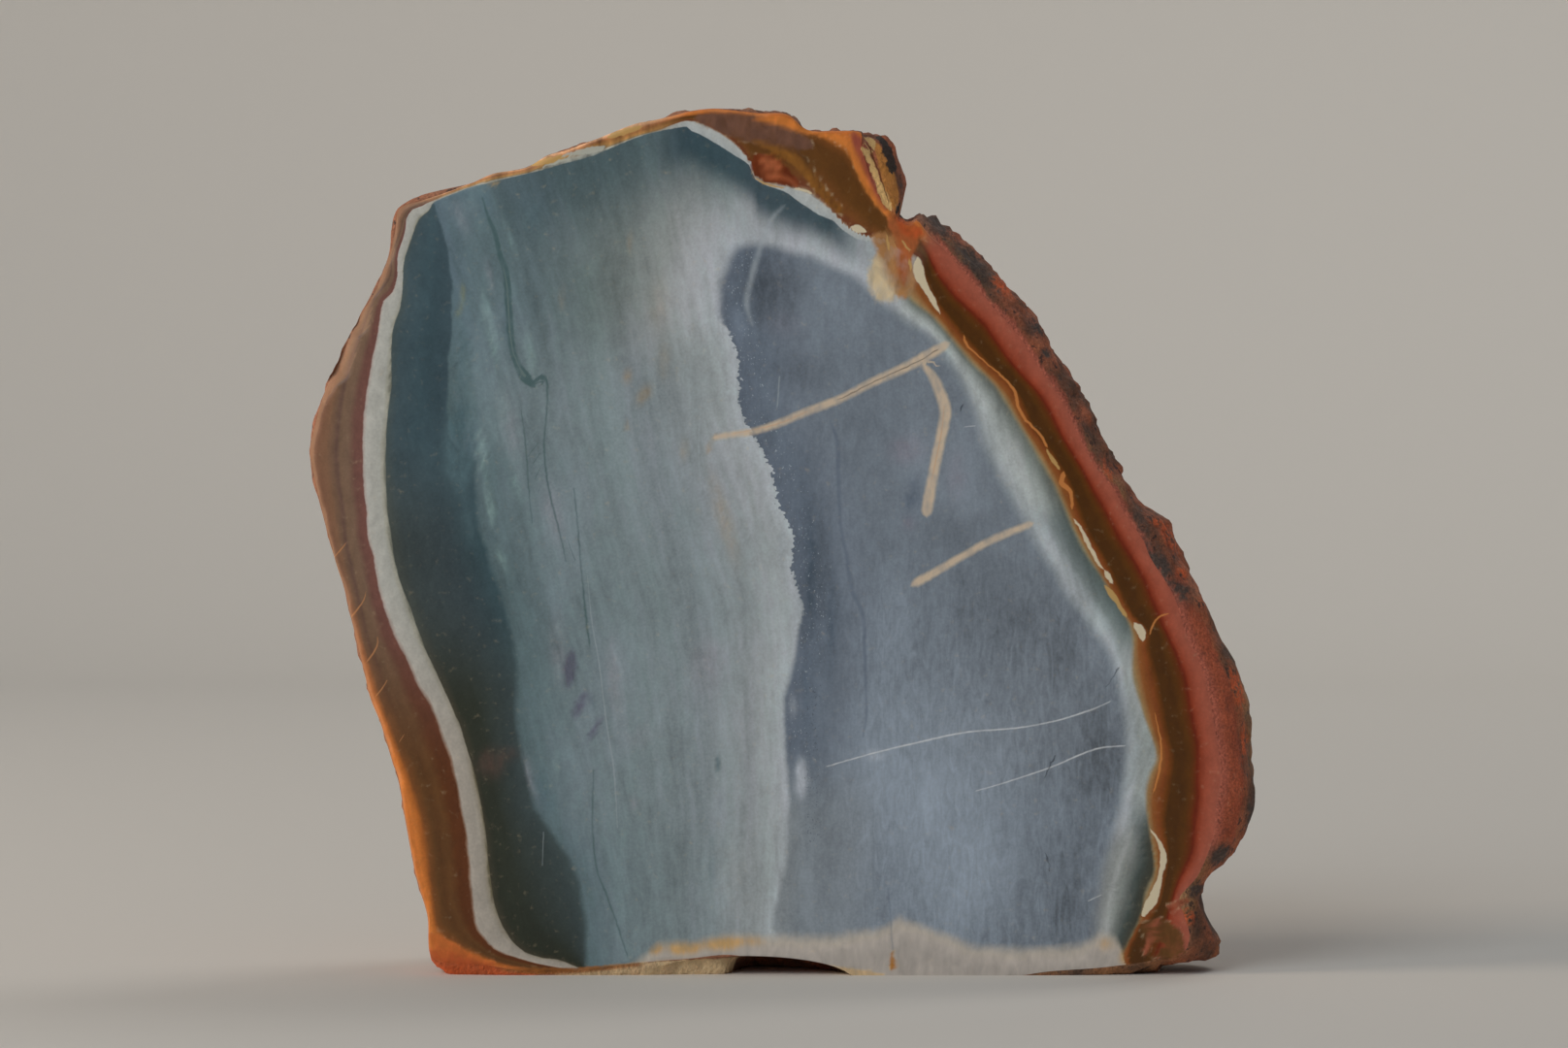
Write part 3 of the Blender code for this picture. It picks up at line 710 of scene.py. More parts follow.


# %% [markdown]
# The veins of the core. They are cracks that filled with clay and quartz. Each is a brush stroke: a
# line of listed points, written "x z half-width" in millimetres, with a comma after a point and a
# semicolon after a stroke.

# %% Strokes of the core
VEINS = {
    "dark_line": """
        -48.3 124.6 0.08, -47.2 121 0.25, -46.3 118.9 0.32, -45.4 115.3 0.4, -44.4 112.1 0.55, -44 107 0.6,
        -43.8 104 0.55, -43.4 100.1 0.55, -42.5 97.5 0.6, -41.4 95.6 0.85, -40 94.2 0.45; -39.8 94.5 0.1,
        -38.9 95.7 0.3, -38 95.3 0.22, -37.8 92 0.12, -38.1 88 0.1, -38.3 84.8 0.15, -38 80.3 0.12,
        -37.2 76 0.14, -35.9 71 0.1, -34.8 66 0.06; -33.6 78 0.05, -32.9 71 0.1, -32.2 63 0.1,
        -31.6 57 0.2, -31 52.5 0.1; -30.4 33 0.05, -30.6 24 0.1, -29.9 17 0.12, -28.4 13 0.12, -26.6 8 0.1,
        -25 3 0.06; -42 90.5 0.04, -41.2 84 0.1, -40.8 78 0.08, -40.2 72 0.04
    """,
    "slate_line": """
        7.4 88.5 0.15, 8.5 85.1 0.3, 8.7 78.3 0.3, 9.1 71.3 0.2, 10 67.1 0.25, 10.8 61.7 0.3,
        12.6 57.5 0.3, 12.9 51.9 0.25, 13 47.3 0.2, 13.2 42 0.15, 12.6 38 0.1; 16.6 14 0.08, 17 10 0.1,
        17.2 6 0.1, 17.5 3.5 0.08
    """,
    "green_heart": """
        -44.9 113.5 0.06, -44.2 109.5 0.12, -43.9 104 0.12, -43.4 100.1 0.1, -42.5 97.6 0.1,
        -41.4 95.7 0.22
    """,
    "hair": """
        6.5 33.3 0.08, 14.3 35.5 0.1, 20.5 37 0.12, 28.8 38.8 0.12, 37 39.5 0.1, 43.2 40.6 0.1,
        48.7 42.3 0.12, 52.5 43.9 0.05; 30.4 29.4 0.04, 35 30.7 0.08, 42.5 33.2 0.1, 49.6 36.1 0.12,
        54.6 36.7 0.08; 48.4 11.8 0.05, 50.8 12.9 0.08; 28.6 87.6 0.05, 30.8 87.8 0.05
    """,
    "light": """
        -31.4 64 0.03, -30.7 56.6 0.06, -29.6 50.2 0.1, -28.8 43.9 0.1, -28.1 38.6 0.1, -27.3 33.8 0.12,
        -26.9 29 0.1, -26.6 23.4 0.05; -13.2 92 0.04, -13.6 87 0.12, -13.6 82 0.1, -13.2 77 0.04;
        -0.7 95.9 0.12, -1.1 90.4 0.1; -38.4 23 0.07, -38.6 17.5 0.04
    """,
    "black": """
        41.4 31.2 0.04, 42.3 33.2 0.1, 43 34.5 0.14, 43.6 35.4 0.05; 41.8 19.8 0.04, 42.1 18.6 0.1,
        42.5 17.6 0.05, 42.5 16.6 0.1; 51.2 45.6 0.03, 52.6 47.6 0.06, 53.4 49.2 0.1; 28.2 90.2 0.1,
        28.6 91.2 0.14
    """,
    "pale": """
        0 122.9 0.2, -1.7 121.2 0.3, -3.1 118.2 0.4, -4.3 114.7 0.45, -5.3 111.1 0.5, -6 107.3 0.4,
        -5 103.7 0.1
    """,
    "tan": """
        -11 85.9 0.4, -8.3 86.4 0.45, -5.2 86.8 0.5, -1.3 88 0.55, 3.8 90.1 0.6, 9 92.1 0.6,
        14.1 94.7 0.65, 19.2 97 0.75, 23.6 99.4 0.8, 26 100.8 0.6; 20.8 62.5 0.65, 26.7 65.9 0.55,
        32.9 69.4 0.55, 39.4 72.1 0.5; 22.6 97.2 0.5, 24.3 94.7 0.75, 25.7 90.7 0.9, 25.5 87.9 0.85,
        24.6 83.8 0.8, 23.8 79.7 0.8, 22.9 74.8 0.85, 22.8 73.8 0.6
    """,
    "tan_heart": """
        25.6 91 0.03, 25.2 87 0.07, 24.3 82.5 0.08, 23.6 79 0.05; -8.3 86.5 0.03, -1.3 88 0.05,
        3.8 90.1 0.05
    """,
    "tan_crack": "8.5 91.9 0.02, 10.3 92.7 0.1, 14.1 94.7 0.08, 19.2 97 0.09, 22 98.4 0.07, 24.8 100.1 0.09",
}

# %% [markdown]
# The marks of the crust: lenses of pale clay between the layers, blotches and stains. Most follow the
# layers, so strokes suit them as well.

# %% Strokes of the crust
CRUST_MARKS = {
    "purple_brown": "-14 137 0.4, -10 136.3 1.5, -5 135.2 2.1, 0.5 133.9 1.7, 4 132.6 0.8",
    "gold_brown": "-4.6 133.2 0.3, -1.5 131.9 0.6, 1.5 130.4 0.9, 4 127.8 0.9, 6.5 124.6 0.8, 9 122.2 0.7",
    "flow": "-0.6 132.7 0.1, 1.6 131.6 0.3, 3.4 130.2 0.4, 4.6 128 0.3, 6.6 124.8 0.25, 9.5 121.5 0.15",
    "blob_rim": """
        -4.4 130.6 0.9, -2.8 129.3 1.8, -1 128.5 1.5, 1.2 126.9 0.9, 2.4 126.2 0.5; -5.5 130.6 0.3,
        -4.3 128.3 0.6, -2.3 127.1 0.55, 0.6 126.3 0.35
    """,
    "blob": """
        -3.6 130.4 0.5, -2.2 129.6 1, -0.9 129 0.8; -3.4 128.2 0.3, -2.2 127.8 0.5, -0.8 127.6 0.4;
        0.2 127.7 0.25, 0.8 127.2 0.3; 1.5 126.7 0.25, 2 126.3 0.3
    """,
    "orange_rim": """
        -4.5 136.8 0.2, -0.5 136.4 0.6, 2 135.4 0.5, 4.5 134.4 0.2; 5.5 134.3 0.2, 8 133.9 0.45,
        10.5 132.4 0.6, 12 129.2 0.7, 13.4 126 0.6, 15.4 123 0.6, 17.4 121.2 0.5
    """,
    "maroon": """
        11.2 134.2 0.6, 12.1 132.4 0.95, 12.8 130.4 0.8, 13.8 127.6 0.55, 14.8 125 0.4, 16.2 122.6 0.3
    """,
    "knob_gold": "14.8 132.8 0.5, 15.8 130.4 0.8, 16.7 127.4 1.1, 17.4 124.6 1, 17.6 122.8 0.6",
    "knob_cream": """
        13 133.9 0.3, 14 133.2 0.55, 14.3 132.1 0.3; 12.6 132.3 0.3, 13.7 130.4 0.5, 14.5 128 0.4,
        15.4 126 0.6, 16.2 123.9 0.6, 17 122.4 0.4
    """,
    "knob_line": "13.3 133 0.05, 14.2 130.8 0.14, 15.2 128.2 0.12, 16 125.8 0.1, 16.8 123.4 0.06",
    "black_patch": """
        15.2 134.3 0.4, 16.2 132.6 0.75, 17.1 130.4 0.8, 17.3 128.6 0.6; 18.6 123.6 0.4, 18.2 121.6 0.5
    """,
    "blotch_tan": "14.3 117.8 0.5, 16.2 116.8 1.6, 17.4 114.4 2.2, 18.2 111.8 2.5, 18.8 109.8 1.9",
    "blotch_cream": "14.9 114.2 0.7, 14.8 112 1.3, 15.6 109.8 1.7, 16.8 108.6 1.3",
    "neck": "17.6 120.6 1.4, 19.6 118.4 1.9, 19.2 115.2 1.3, 19 112.6 0.9, 19.2 110.6 0.4",
    "neck_red": "18.4 121.2 0.6, 19.4 119.2 0.8, 21.4 118.6 1",
    "ochre_line": """
        28.7 102.3 0.1, 29 101 0.2, 30 99.9 0.14, 32.2 97.9 0.1, 34.8 95.7 0.14, 36.8 93.4 0.24,
        37.3 91.2 0.24, 38.4 89 0.2, 40.9 86.4 0.2, 42 84.4 0.2; 44.6 80.2 0.35, 44.4 78.6 0.4,
        45.8 77.2 0.3, 46 74.6 0.2; 58.4 54.4 0.1, 58.9 56 0.15, 60.3 57.5 0.14, 61.6 57.8 0.06; 59 29 0.1,
        60 33 0.2, 60.2 37 0.14, 59.2 42 0.06
    """,
    "lens": """
        21.4 114.6 0.3, 21.4 113 0.8, 21.8 111.4 0.75, 22.8 109.6 0.5, 24 107.4 0.4, 24.9 105.7 0.12;
        46.2 73 0.1, 47.3 71.6 0.22, 48.4 69.4 0.3, 49.6 67 0.28, 50.7 65 0.15; 51.3 64.6 0.25,
        51.9 63.6 0.4, 52.5 62.6 0.15; 55.9 56.3 0.1, 56.7 55.5 0.6, 57.2 54.4 0.6, 57.3 53.4 0.12;
        58.5 23.4 0.1, 59.6 21.8 0.25, 60.4 20 0.4, 60.6 18.2 0.5, 60.2 16.4 0.35, 59.8 14.8 0.45,
        59.2 12.8 0.75, 58.2 11 0.7, 57.2 9.4 0.2; 1.6 125.6 0.1, 2.6 125.6 0.2, 4.4 124.9 0.15;
        10.9 119.5 0.3, 11.9 119.2 0.6, 12.9 118.9 0.35
    """,
    "lens_tan": """
        51.2 62.3 0.2, 52.4 60.8 0.5, 53.3 59.5 0.35, 54.6 57.4 0.25; 41.9 84 0.15, 42.8 82.6 0.3,
        44 80.8 0.2; -40.4 129.4 0.2, -38 130 0.5, -35.2 130.7 0.45; -4.6 127.4 0.1, -2.6 126.3 0.16,
        0.2 125.8 0.12; -28 133.9 0.3, -25.4 134.8 0.5, -22.8 135.6 0.3; 16.4 118.4 0.08, 16.6 117 0.2,
        16.8 115.8 0.1; 20 114.6 0.1, 20.2 113.4 0.22, 20.3 112.4 0.08; 18.8 117.4 0.1, 19.6 116.2 0.18,
        20.4 115.8 0.06
    """,
    "lens_grey": """
        -35.4 130.9 0.15, -33 131.4 0.4, -30.6 131.8 0.5, -28.6 132.4 0.2; -38.6 129 0.1, -36.4 129.9 0.2,
        -33.8 130.7 0.15
    """,
    "edge_crack": """
        -71.9 66.8 0.05, -70.8 68 0.1, -69.8 69.3 0.04; -69.2 57.2 0.12, -68.2 58.4 0.12, -67.1 60 0.08,
        -66.8 61.4 0.03; -66.7 50 0.12, -65.6 51.5 0.12, -64.9 53 0.08, -65 54.4 0.03; -65.3 44.5 0.1,
        -64.2 45.8 0.09, -63.4 47.2 0.04; -61.5 37.2 0.04, -60.6 38.6 0.06
    """,
    "corner_orange": "-57 6.4 0.4, -55.4 5.6 0.9, -52.4 4.2 0.8, -49.6 2.9 0.4, -46 1.9 0.2",
    "corner_red": "-57.2 2.4 2, -53 1.4 2.2, -48.8 0.6 1.6, -44.5 0.2 0.9, -40 0 0.4",
    "foot_brown": "-45 0.9 0.2, -40 0.7 0.55, -34 0.7 0.5, -29 1.1 0.4, -23 1.7 0.25",
    "foot_olive": "58 7.4 1.5, 61.4 6.6 1.7, 62.6 4.4 1.4, 60.4 3.4 1",
    "foot_pink": """
        60 9 0.5, 59 7.6 0.5, 58.4 5.6 0.45, 57.6 3.6 0.5; 61.2 10.8 0.3, 63 11.4 0.5, 64.6 12 0.4
    """,
    "stain": "17.2 3.4 0.35, 17.3 2.2 0.55, 17.5 0.8 0.4",
    "foot_clay": "-36 0 0.4, -26 0.4 1.3, -14 0.6 1.9, -2 0.6 1.9, 10 0.2 1, 16 0 0.2",
}

# %% [markdown]
# Reading the strokes. For every point of the stone's front the script finds how far to the side of the
# nearest stroke it lies, and stores it with the half width. Stored side distances change sign across
# the stroke, so even one much thinner than the mesh's cells comes out sharp.

# %% Distance to a stroke
STROKE_FADE = 1.0 * MM  # beyond a stroke's side its stored half width starts to shrink


def open_curve(points):
    """A Catmull-Rom curve through the points, whose ends are carried straight on."""
    p = np.array(points)
    p = np.vstack([2.0 * p[0] - p[1], p, 2.0 * p[-1] - p[-2]])
    curve = closed_curve(p, LINE_STEPS)
    return curve[LINE_STEPS : -2 * LINE_STEPS + 1]


def stroke_field(x, z, strokes):
    """(side, half) of each point for a group of strokes, in millimetres: it is inside if |side| < half.

    side is the distance to the left of the nearest stroke's line. half is the half width there, less
    the distance past the stroke's end, less twice what the point lies beyond STROKE_FADE outside it.
    """
    best = np.full(x.shape, -np.inf)
    side, half = np.zeros(x.shape), np.full(x.shape, -1.0 * MM)
    for stroke in strokes.split(";"):
        curve = open_curve(rows(stroke))
        room = curve[:, 2].max() + 3.0 * STROKE_FADE
        near = (np.abs(x - np.clip(x, curve[:, 0].min(), curve[:, 0].max())) < room) & (
            np.abs(z - np.clip(z, curve[:, 1].min(), curve[:, 1].max())) < room
        )
        near = np.flatnonzero(near)
        last = len(curve) - 2
        for i, (start, end) in enumerate(zip(curve[:-1], curve[1:])):
            squared, share, cross = drop_on(x[near], z[near], start[:2], end[:2])
            length = math.hypot(*(end - start)[:2])
            width = start[2] + (end[2] - start[2]) * np.clip(share, 0.0, 1.0)
            before, after = -share if i == 0 else 0.0, share - 1.0 if i == last else 0.0
            past = np.maximum(np.maximum(before, after), np.zeros_like(share))
            distance = np.sqrt(squared)
            closer = width - distance > best[near]
            best[near] = np.where(closer, width - distance, best[near])
            gap = np.where(past > 0.0, np.abs(cross) / length, distance)
            side[near] = np.where(closer, np.sign(cross) * gap, side[near])
            left_over = width - past * length - 2.0 * np.maximum(distance - width - STROKE_FADE, 0.0)
            half[near] = np.where(closer, left_over, half[near])
    return side / MM, half / MM


print("strokes:", {name: text.count(";") + 1 for name, text in {**VEINS, **CRUST_MARKS}.items()})

# %% [markdown]
# Soft tones. Besides its borders the core has cloudy places that are a little lighter or darker, and
# stains of other colours. Both are given as soft leaning ovals, whose strengths are added up.
# The rind's dark and orange blotches are set in the same way.

# %% Soft tones
# (x, z, half length, half width, lean in degrees, strength): + is lighter
CORE_TONES = rows("""
    24 26 30 20 0 0.5, 32 14 14 9 0 0.2, 14 36 12 8 20 0.25, 17 58 22 6 8 0.22, 5.6 66 24 4.6 0 -0.25,
    8.2 48 14 3 4 -0.15, 50 34 22 7 8 -0.3, 45.5 14 14 7 0 -0.36, -2 110 9 9 0 -0.45, 38 58 12 15 0 -0.28,
    27.5 71 5 8 0 -0.2, 44 50 9 7 0 -0.16, 3.6 14 12 3 0 0.2, -7 104 5 2.4 0 0.3, 3 96 5 8 0 -0.22,
    22 84 9 6 0 0.08, 29 82 9 4 0 0.12
""")
STAINS = [  # (colour as seen, ovals), laid one over the other
    ((67, 86, 92), "-51.6 85 12 4.4 2 1.5, -50.6 72 8 2.2 -10 0.6"),
    ((112, 134, 134), """
        -48.2 83.5 7 1.2 -4 0.8, -47 75 6 1.2 -10 0.9, -45 66.5 5 1.2 -24 0.6, -46.4 101.5 7 1.2 -8 0.7,
        -40.4 99 8 1.6 -10 0.6, -44.6 90 6 1 -8 0.5, -42.9 79 6 1.1 -8 0.5, -43.8 118 8 0.9 -20 0.5,
        -47.6 106.5 5 1.4 -6 0.7, -36.5 33 5 1 0 0.5, -25.6 22 4 1 0 0.4
    """),
    ((72, 90, 97), """
        -47.5 123 5 2 -10 0.8, -40 122 7 5 -10 0.6, -44.2 103 10 1.2 -6 0.7, -51.2 98 14 1.4 4 0.8,
        -52 124.6 2 6 0 0.8, -46.6 70 4 0.9 -20 0.7, -38 29 7 2.4 -12 0.8, -30.6 43.5 3 0.9 -20 0.5,
        -10.6 34 2.4 0.6 -8 0.9, -10 27.5 2.4 0.6 0 0.7, -11.5 17 5 1.3 0 0.5, -11.6 21.5 2 0.8 0 0.4
    """),
    ((132, 123, 107), """
        -25 95.6 2.2 1.5 0 0.7, -22.3 92.8 3.4 2 35 0.7, -24.9 87.7 1.2 1 0 0.8, -19.2 98 5 1.8 0 0.5,
        -20 107 8 3.5 0 0.4, -16 84 3 1.4 0 0.6, -12 84.3 1.3 1.1 0 0.8, -9.6 73 14 2.4 -16 0.6,
        -11 85.9 0.9 1.6 0 0.7, -35.5 108 4 1 0 0.4, -24.6 117 4 0.9 0 0.5
    """),
    ((134, 140, 142), "-7 16 16 7 0 0.6"),
    ((134, 120, 92), "-46.3 126.6 0.9 1.5 0 0.9"),
    ((122, 126, 133), """
        -12 49.5 8 6 0 0.8, -11 51 3 2 0 0.4, -27 47 12 2.2 -6 0.7, -36 52 10 2.6 -4 0.6,
        -43.5 87 12 2.6 -12 0.55, -37 74 10 3 -10 0.5, -47.2 112 5 1 -12 0.6, -23 38 5 3 60 0.5,
        -40.6 32 6 1 -10 0.7, -24 27.5 2.6 1.2 0 0.6, -5.5 36 26 1.6 0 0.4, -51.5 120.5 6 1.2 -22 0.5
    """),
    ((84, 88, 101), """
        -34.2 49 4.6 1.6 6 1.7, -32.6 43.2 3.6 1.2 25 1.5, -30.2 39.4 3.6 0.8 30 1.4,
        -31 43.6 2.6 0.6 0 0.7
    """),
    ((72, 58, 52), "-46.8 33.8 4.5 4 0 0.8, -43.5 35.5 2.5 3 0 0.45"),
    ((108, 112, 80), "-51.4 109.2 2.6 0.7 6 1, -51.8 106 2.6 0.6 6 0.7"),
    ((112, 106, 117), "19.6 84 4.5 5.5 0 0.55, 27.5 80 8 3.2 0 0.4, 20 72.5 2.6 2.2 0 0.5, 0 104 4 6 0 0.3"),
    ((78, 88, 101), "20.6 76 7 3.2 10 0.7, -6.6 92.6 8 1.2 0 0.45, 3 71 26 2.2 0 0.5"),
    ((70, 82, 95), "4.4 64 18 1.6 0 0.9, 7.6 56 16 1.4 2 0.7, 3.6 46 12 1.2 0 0.6"),
    ((142, 148, 156), "2.8 31.4 5.4 1.8 0 1.2, 1.4 43 4 1.4 0 0.5, 14.6 35.2 1.6 3 0 0.5"),
]
SUGAR_PLACES = rows("2.8 31.4 6.5 3 0 1.3, 1.4 43 5 2.2 0 0.9, -6 103.6 3 2.4 0 0.6")
HAZE_STAINS = rows("""
    -20.6 4.4 1.8 2 0 1.2, -16 4.6 2.2 4.4 0 1.3, -10 5.2 2.2 4.8 0 1.3, -5 5.6 1.8 3.6 0 0.8,
    51.5 5 2.2 2.4 0 0.6, 55 3 3 2.4 0 0.9
""")
RIND_DARK = rows("""
    24 120.4 2.6 5.4 38 1, 30 114.6 3 6 45 0.8, 40.4 103.6 4 2.2 -40 0.8, 42 99.4 1.4 2 0 0.9,
    64 61 4 3.2 -20 0.6, 60 66 7 2.4 -30 0.9, 57 72.5 5 2.2 -30 0.5, 75.5 25 8 2.2 0 0.8,
    70 19 3.6 2.6 40 1, 68.5 9 6 1.6 -20 0.8, 49 86 10 2.2 -28 0.4, 66 13.4 2 2.6 0 1
""")
RIND_ORANGE = rows("""
    61.8 70 5 1.8 -28 1, 63.6 63.6 2.6 2 0 0.9, 59.4 72.4 1 1.8 20 0.8, 72.6 46 6 2.4 -18 0.9,
    74 37 5 1.4 0 0.7, 35 110.4 2.6 3.4 40 0.7, 51.6 81 4 1.6 -25 0.6, 64.4 9.6 2.6 2.2 0 0.8,
    72.6 56 3 1.4 -30 0.6
""")
TOP_SHARE = rows("0 1, 24 1, 28 0, 313 0, 318 1")
RIGHT_SHARE = rows("0 0, 24 0, 29 1, 150 1, 175 0")


def spots(x, z, ovals):
    """Sum of strength * smoothstep(1 - r), where r is the distance in half lengths and half widths."""
    total = np.zeros_like(x)
    for cx, cz, half_long, half_wide, lean, strength in ovals:
        dx, dz = x / MM - cx, z / MM - cz
        sine, cosine = math.sin(math.radians(lean)), math.cos(math.radians(lean))
        r = np.hypot((dx * sine + dz * cosine) / half_long, (dx * cosine - dz * sine) / half_wide)
        total += strength * smoothstep(1.0 - r)
    return total


# %% [markdown]
# Measures of each point. Every point of the face gets its distance to each border, and every point of
# the stone gets its share of the top and right side.

# %% Measures of each point
FRONT_DEPTH = 0.016  # how far behind the face the strokes of the crust may reach
on_face = np.zeros(len(points), bool)
on_face[:ROUND] = True
on_face[ROWS * ROUND : back_start] = True
in_front = points[:, 1] < FACE_Y + FRONT_DEPTH
all_angles = clock_angle(points[:, [0, 2]])
top_share, right_share = around(TOP_SHARE, all_angles), around(RIGHT_SHARE, all_angles)
face_x, face_z = points[on_face, 0], points[on_face, 2]
face_top, face_right = top_share[on_face], right_share[on_face]
x_mm, z_mm = face_x / MM, face_z / MM
depth, layer = layer_value(face_x, face_z)
dark = (face_x - level_gap(face_z, DARK_BORDER)) / MM
slate = inside_distance(face_x, face_z, SLATE_OUTLINE)
slate_left = (face_x - level_gap(face_z, SLATE_OUTLINE[:SLATE_LEFT_POINTS])) / MM
print(f"{on_face.sum()} points on the face, core depth up to {depth.max():.1f} mm")

# %% [markdown]
# The dark band and the teal half. Both are ramps between two borders: the share of the way from one
# to the other picks the colour, so the colours lie parallel to both borders, as banding does. Each
# has a ramp for its upper part and one for its lower part.

# %% Dark band and teal half
dark_way = way_between(depth, -dark)
dark_high = ramp_rows(dark_way, "0 63 72 72, 0.12 57 71 77, 0.55 55 72 79, 0.85 53 68 75, 1 55 70 77")
dark_mid = ramp_rows(dark_way, "0 62 66 62, 0.15 54 62 63, 0.6 52 62 66, 0.8 51 65 70, 1 52 70 76")
dark_low = ramp_rows(dark_way, """
    0 54 51 42, 0.1 39 42 35, 0.35 40 44 38, 0.6 46 53 51, 0.85 49 58 59, 1 56 67 69
""")
dark_colour = blend(dark_high, dark_mid, eased(z_mm, 88.0, 68.0))
dark_colour = blend(dark_colour, dark_low, eased(z_mm, 62.0, 42.0))
teal_way = way_between(dark, -slate)
teal_low = ramp_rows(teal_way, """
    0 74 90 94, 0.07 84 100 105, 0.22 98 112 117, 0.5 106 118 122, 0.68 114 124 129, 0.82 125 133 137,
    0.93 135 142 145, 1 146 153 158
""")
teal_high = ramp_rows(teal_way, """
    0 78 95 103, 0.1 88 105 111, 0.3 86 101 106, 0.5 91 103 104, 0.62 101 110 110, 0.78 124 130 130,
    0.9 139 145 148, 1 148 154 160
""")
teal_colour = blend(teal_low, teal_high, eased(z_mm, 90.0, 110.0))

# %% [markdown]
# The halo and the crest. The slate fades into a pale halo on the right, beyond which the core darkens
# again to its rim, except in the middle of that side, where it stays pale. Along the top the core
# darkens to a blue-green crest.

# %% Halo and crest
halo_way = way_between(-slate, depth)
halo = ramp_rows(halo_way, """
    0 137 145 150, 0.18 149 156 160, 0.34 139 147 151, 0.5 108 117 118, 0.8 84 94 94, 1 78 86 82
""")
halo_high = ramp_rows(halo_way, """
    0 128 136 141, 0.35 156 163 164, 0.6 140 147 146, 0.85 104 110 107, 1 92 95 88
""")
halo = blend(halo, halo_high, eased(z_mm, 71.0, 77.0))
pale_rim = eased(z_mm, 57.0, 48.0) * eased(z_mm, 23.0, 30.0) * eased(halo_way, 0.2, 0.6)
halo = blend(halo, tone(136, 143, 143), pale_rim)
foot_halo = ramp_rows(halo_way, """
    0 112 117 120, 0.25 140 145 144, 0.45 106 111 109, 0.7 57 65 63, 1 58 56 46
""")
halo = blend(halo, foot_halo, eased(z_mm, 27.0, 20.0))
teal_colour = blend(teal_colour, halo, face_right)
crest_wide = face_top * eased(depth, 17.0, 1.0) * eased(x_mm, -54.0, -42.0) * eased(x_mm, -3.0, -12.0)
teal_colour = blend(teal_colour, tone(66, 82, 87), 0.85 * crest_wide)
dark_colour = blend(dark_colour, tone(58, 74, 80), 0.85 * crest_wide)
crest_grows = eased(x_mm, 5.0, 0.0)
crest_near = 1.0 - smoothstep((depth - 1.2 - 1.6 * crest_grows) / (4.4 + 1.0 * crest_grows))
crest_near *= eased(x_mm, -22.0, -15.0) * eased(x_mm, 15.0, 7.0)
teal_colour = blend(teal_colour, tone(49, 65, 72), 0.95 * crest_near)
slate_colour = ramp_rows(slate_left, "0 83 92 104, 4 88 98 110, 9 97 106 117, 14 99 108 118, 40 101 109 118")
slate_foot = ramp_rows(slate_left, "0 113 120 125, 3 104 112 119, 10 107 115 123, 16 102 111 121")
slate_colour = blend(slate_colour, slate_foot, eased(z_mm, 38.0, 24.0))

# %% [markdown]
# The stains of the core and the soft marks of the crust. Each coat of paint goes over the last, and
# the mesh keeps one colour and how much it covers.

# %% Stains and soft marks
stain_colour, stain_cover = np.zeros((len(face_x), 3)), np.zeros(len(face_x))
for seen, ovals in STAINS:
    share = eased(spots(face_x, face_z, rows(ovals)), 0.0, 1.1)
    stain_colour, stain_cover = lay_over(stain_colour, stain_cover, tone(*seen), share)
SOFT_MARKS = {  # name: (red, green, blue as seen, cover, softness in mm)
    "purple_brown": (90, 63, 51, 0.95, 0.7), "gold_brown": (112, 73, 31, 0.8, 0.5),
    "orange_rim": (170, 101, 46, 0.95, 0.5), "flow": (72, 46, 24, 0.8, 0.4),
    "blob_rim": (88, 38, 18, 0.95, 0.4), "blob": (138, 76, 48, 0.95, 0.35),
    "maroon": (124, 62, 50, 0.9, 0.6), "knob_gold": (156, 104, 52, 0.95, 0.4),
    "blotch_tan": (138, 100, 64, 0.95, 1), "blotch_cream": (174, 158, 128, 0.9, 1.1),
    "neck": (136, 76, 44, 0.95, 0.6), "neck_red": (146, 68, 36, 0.9, 0.5),
    "corner_orange": (160, 88, 43, 0.95, 0.6), "corner_red": (146, 70, 38, 0.97, 0.9),
    "foot_clay": (158, 138, 108, 0.97, 0.4), "foot_brown": (116, 72, 36, 0.9, 0.35),
    "foot_olive": (82, 54, 28, 0.9, 0.7), "foot_pink": (126, 70, 50, 0.9, 0.5),
    "stain": (132, 88, 40, 0.8, 0.4),
}
front_x, front_z = points[in_front, 0], points[in_front, 2]
mark_colour, mark_cover = np.zeros((len(front_x), 3)), np.zeros(len(front_x))
for name, (*seen, cover, soft) in SOFT_MARKS.items():
    side, half = stroke_field(front_x, front_z, CRUST_MARKS[name])
    share = cover * eased(half - np.abs(side), -soft, soft)
    mark_colour, mark_cover = lay_over(mark_colour, mark_cover, tone(*seen), share)
print(f"stains cover {stain_cover.mean():.0%} of the face, soft marks {mark_cover.mean():.0%} of the front")

# %% [markdown]
# All this goes on the mesh as attributes, which the material reads.

# %% Attributes
MARKS_FADE, MARKS_END = 2.5 * MM, 6.0 * MM  # behind the face, where the marks of the crust fade out
LEFT_LIMIT, LEFT_DEPTH = -20.0 * MM, 1.6 * MM  # left of this they keep closer to the face
BEHIND_SHARE = 0.5  # how much depth counts against distance outside the face's edge


def store(name, values, where=None):
    """Puts a number, or a row of three, on every point of the stone, or on those of where."""
    if where is not None:
        full = np.zeros((len(points), *values.shape[1:]))
        full[where] = values
        values = full
    kind, key = ("FLOAT_VECTOR", "vector") if values.ndim == 2 else ("FLOAT", "value")
    attribute = stone_mesh.attributes.new(name, kind, "POINT")
    attribute.data.foreach_set(key, values.astype(np.float32).ravel())


def store_strokes(x, z, where, groups, names):
    """Puts two numbers, side and half width, on the points of where for each group of strokes."""
    for name in names:
        side, half = stroke_field(x, z, groups[name])
        store(name + " side", side, where)
        store(name + " half", half, where)


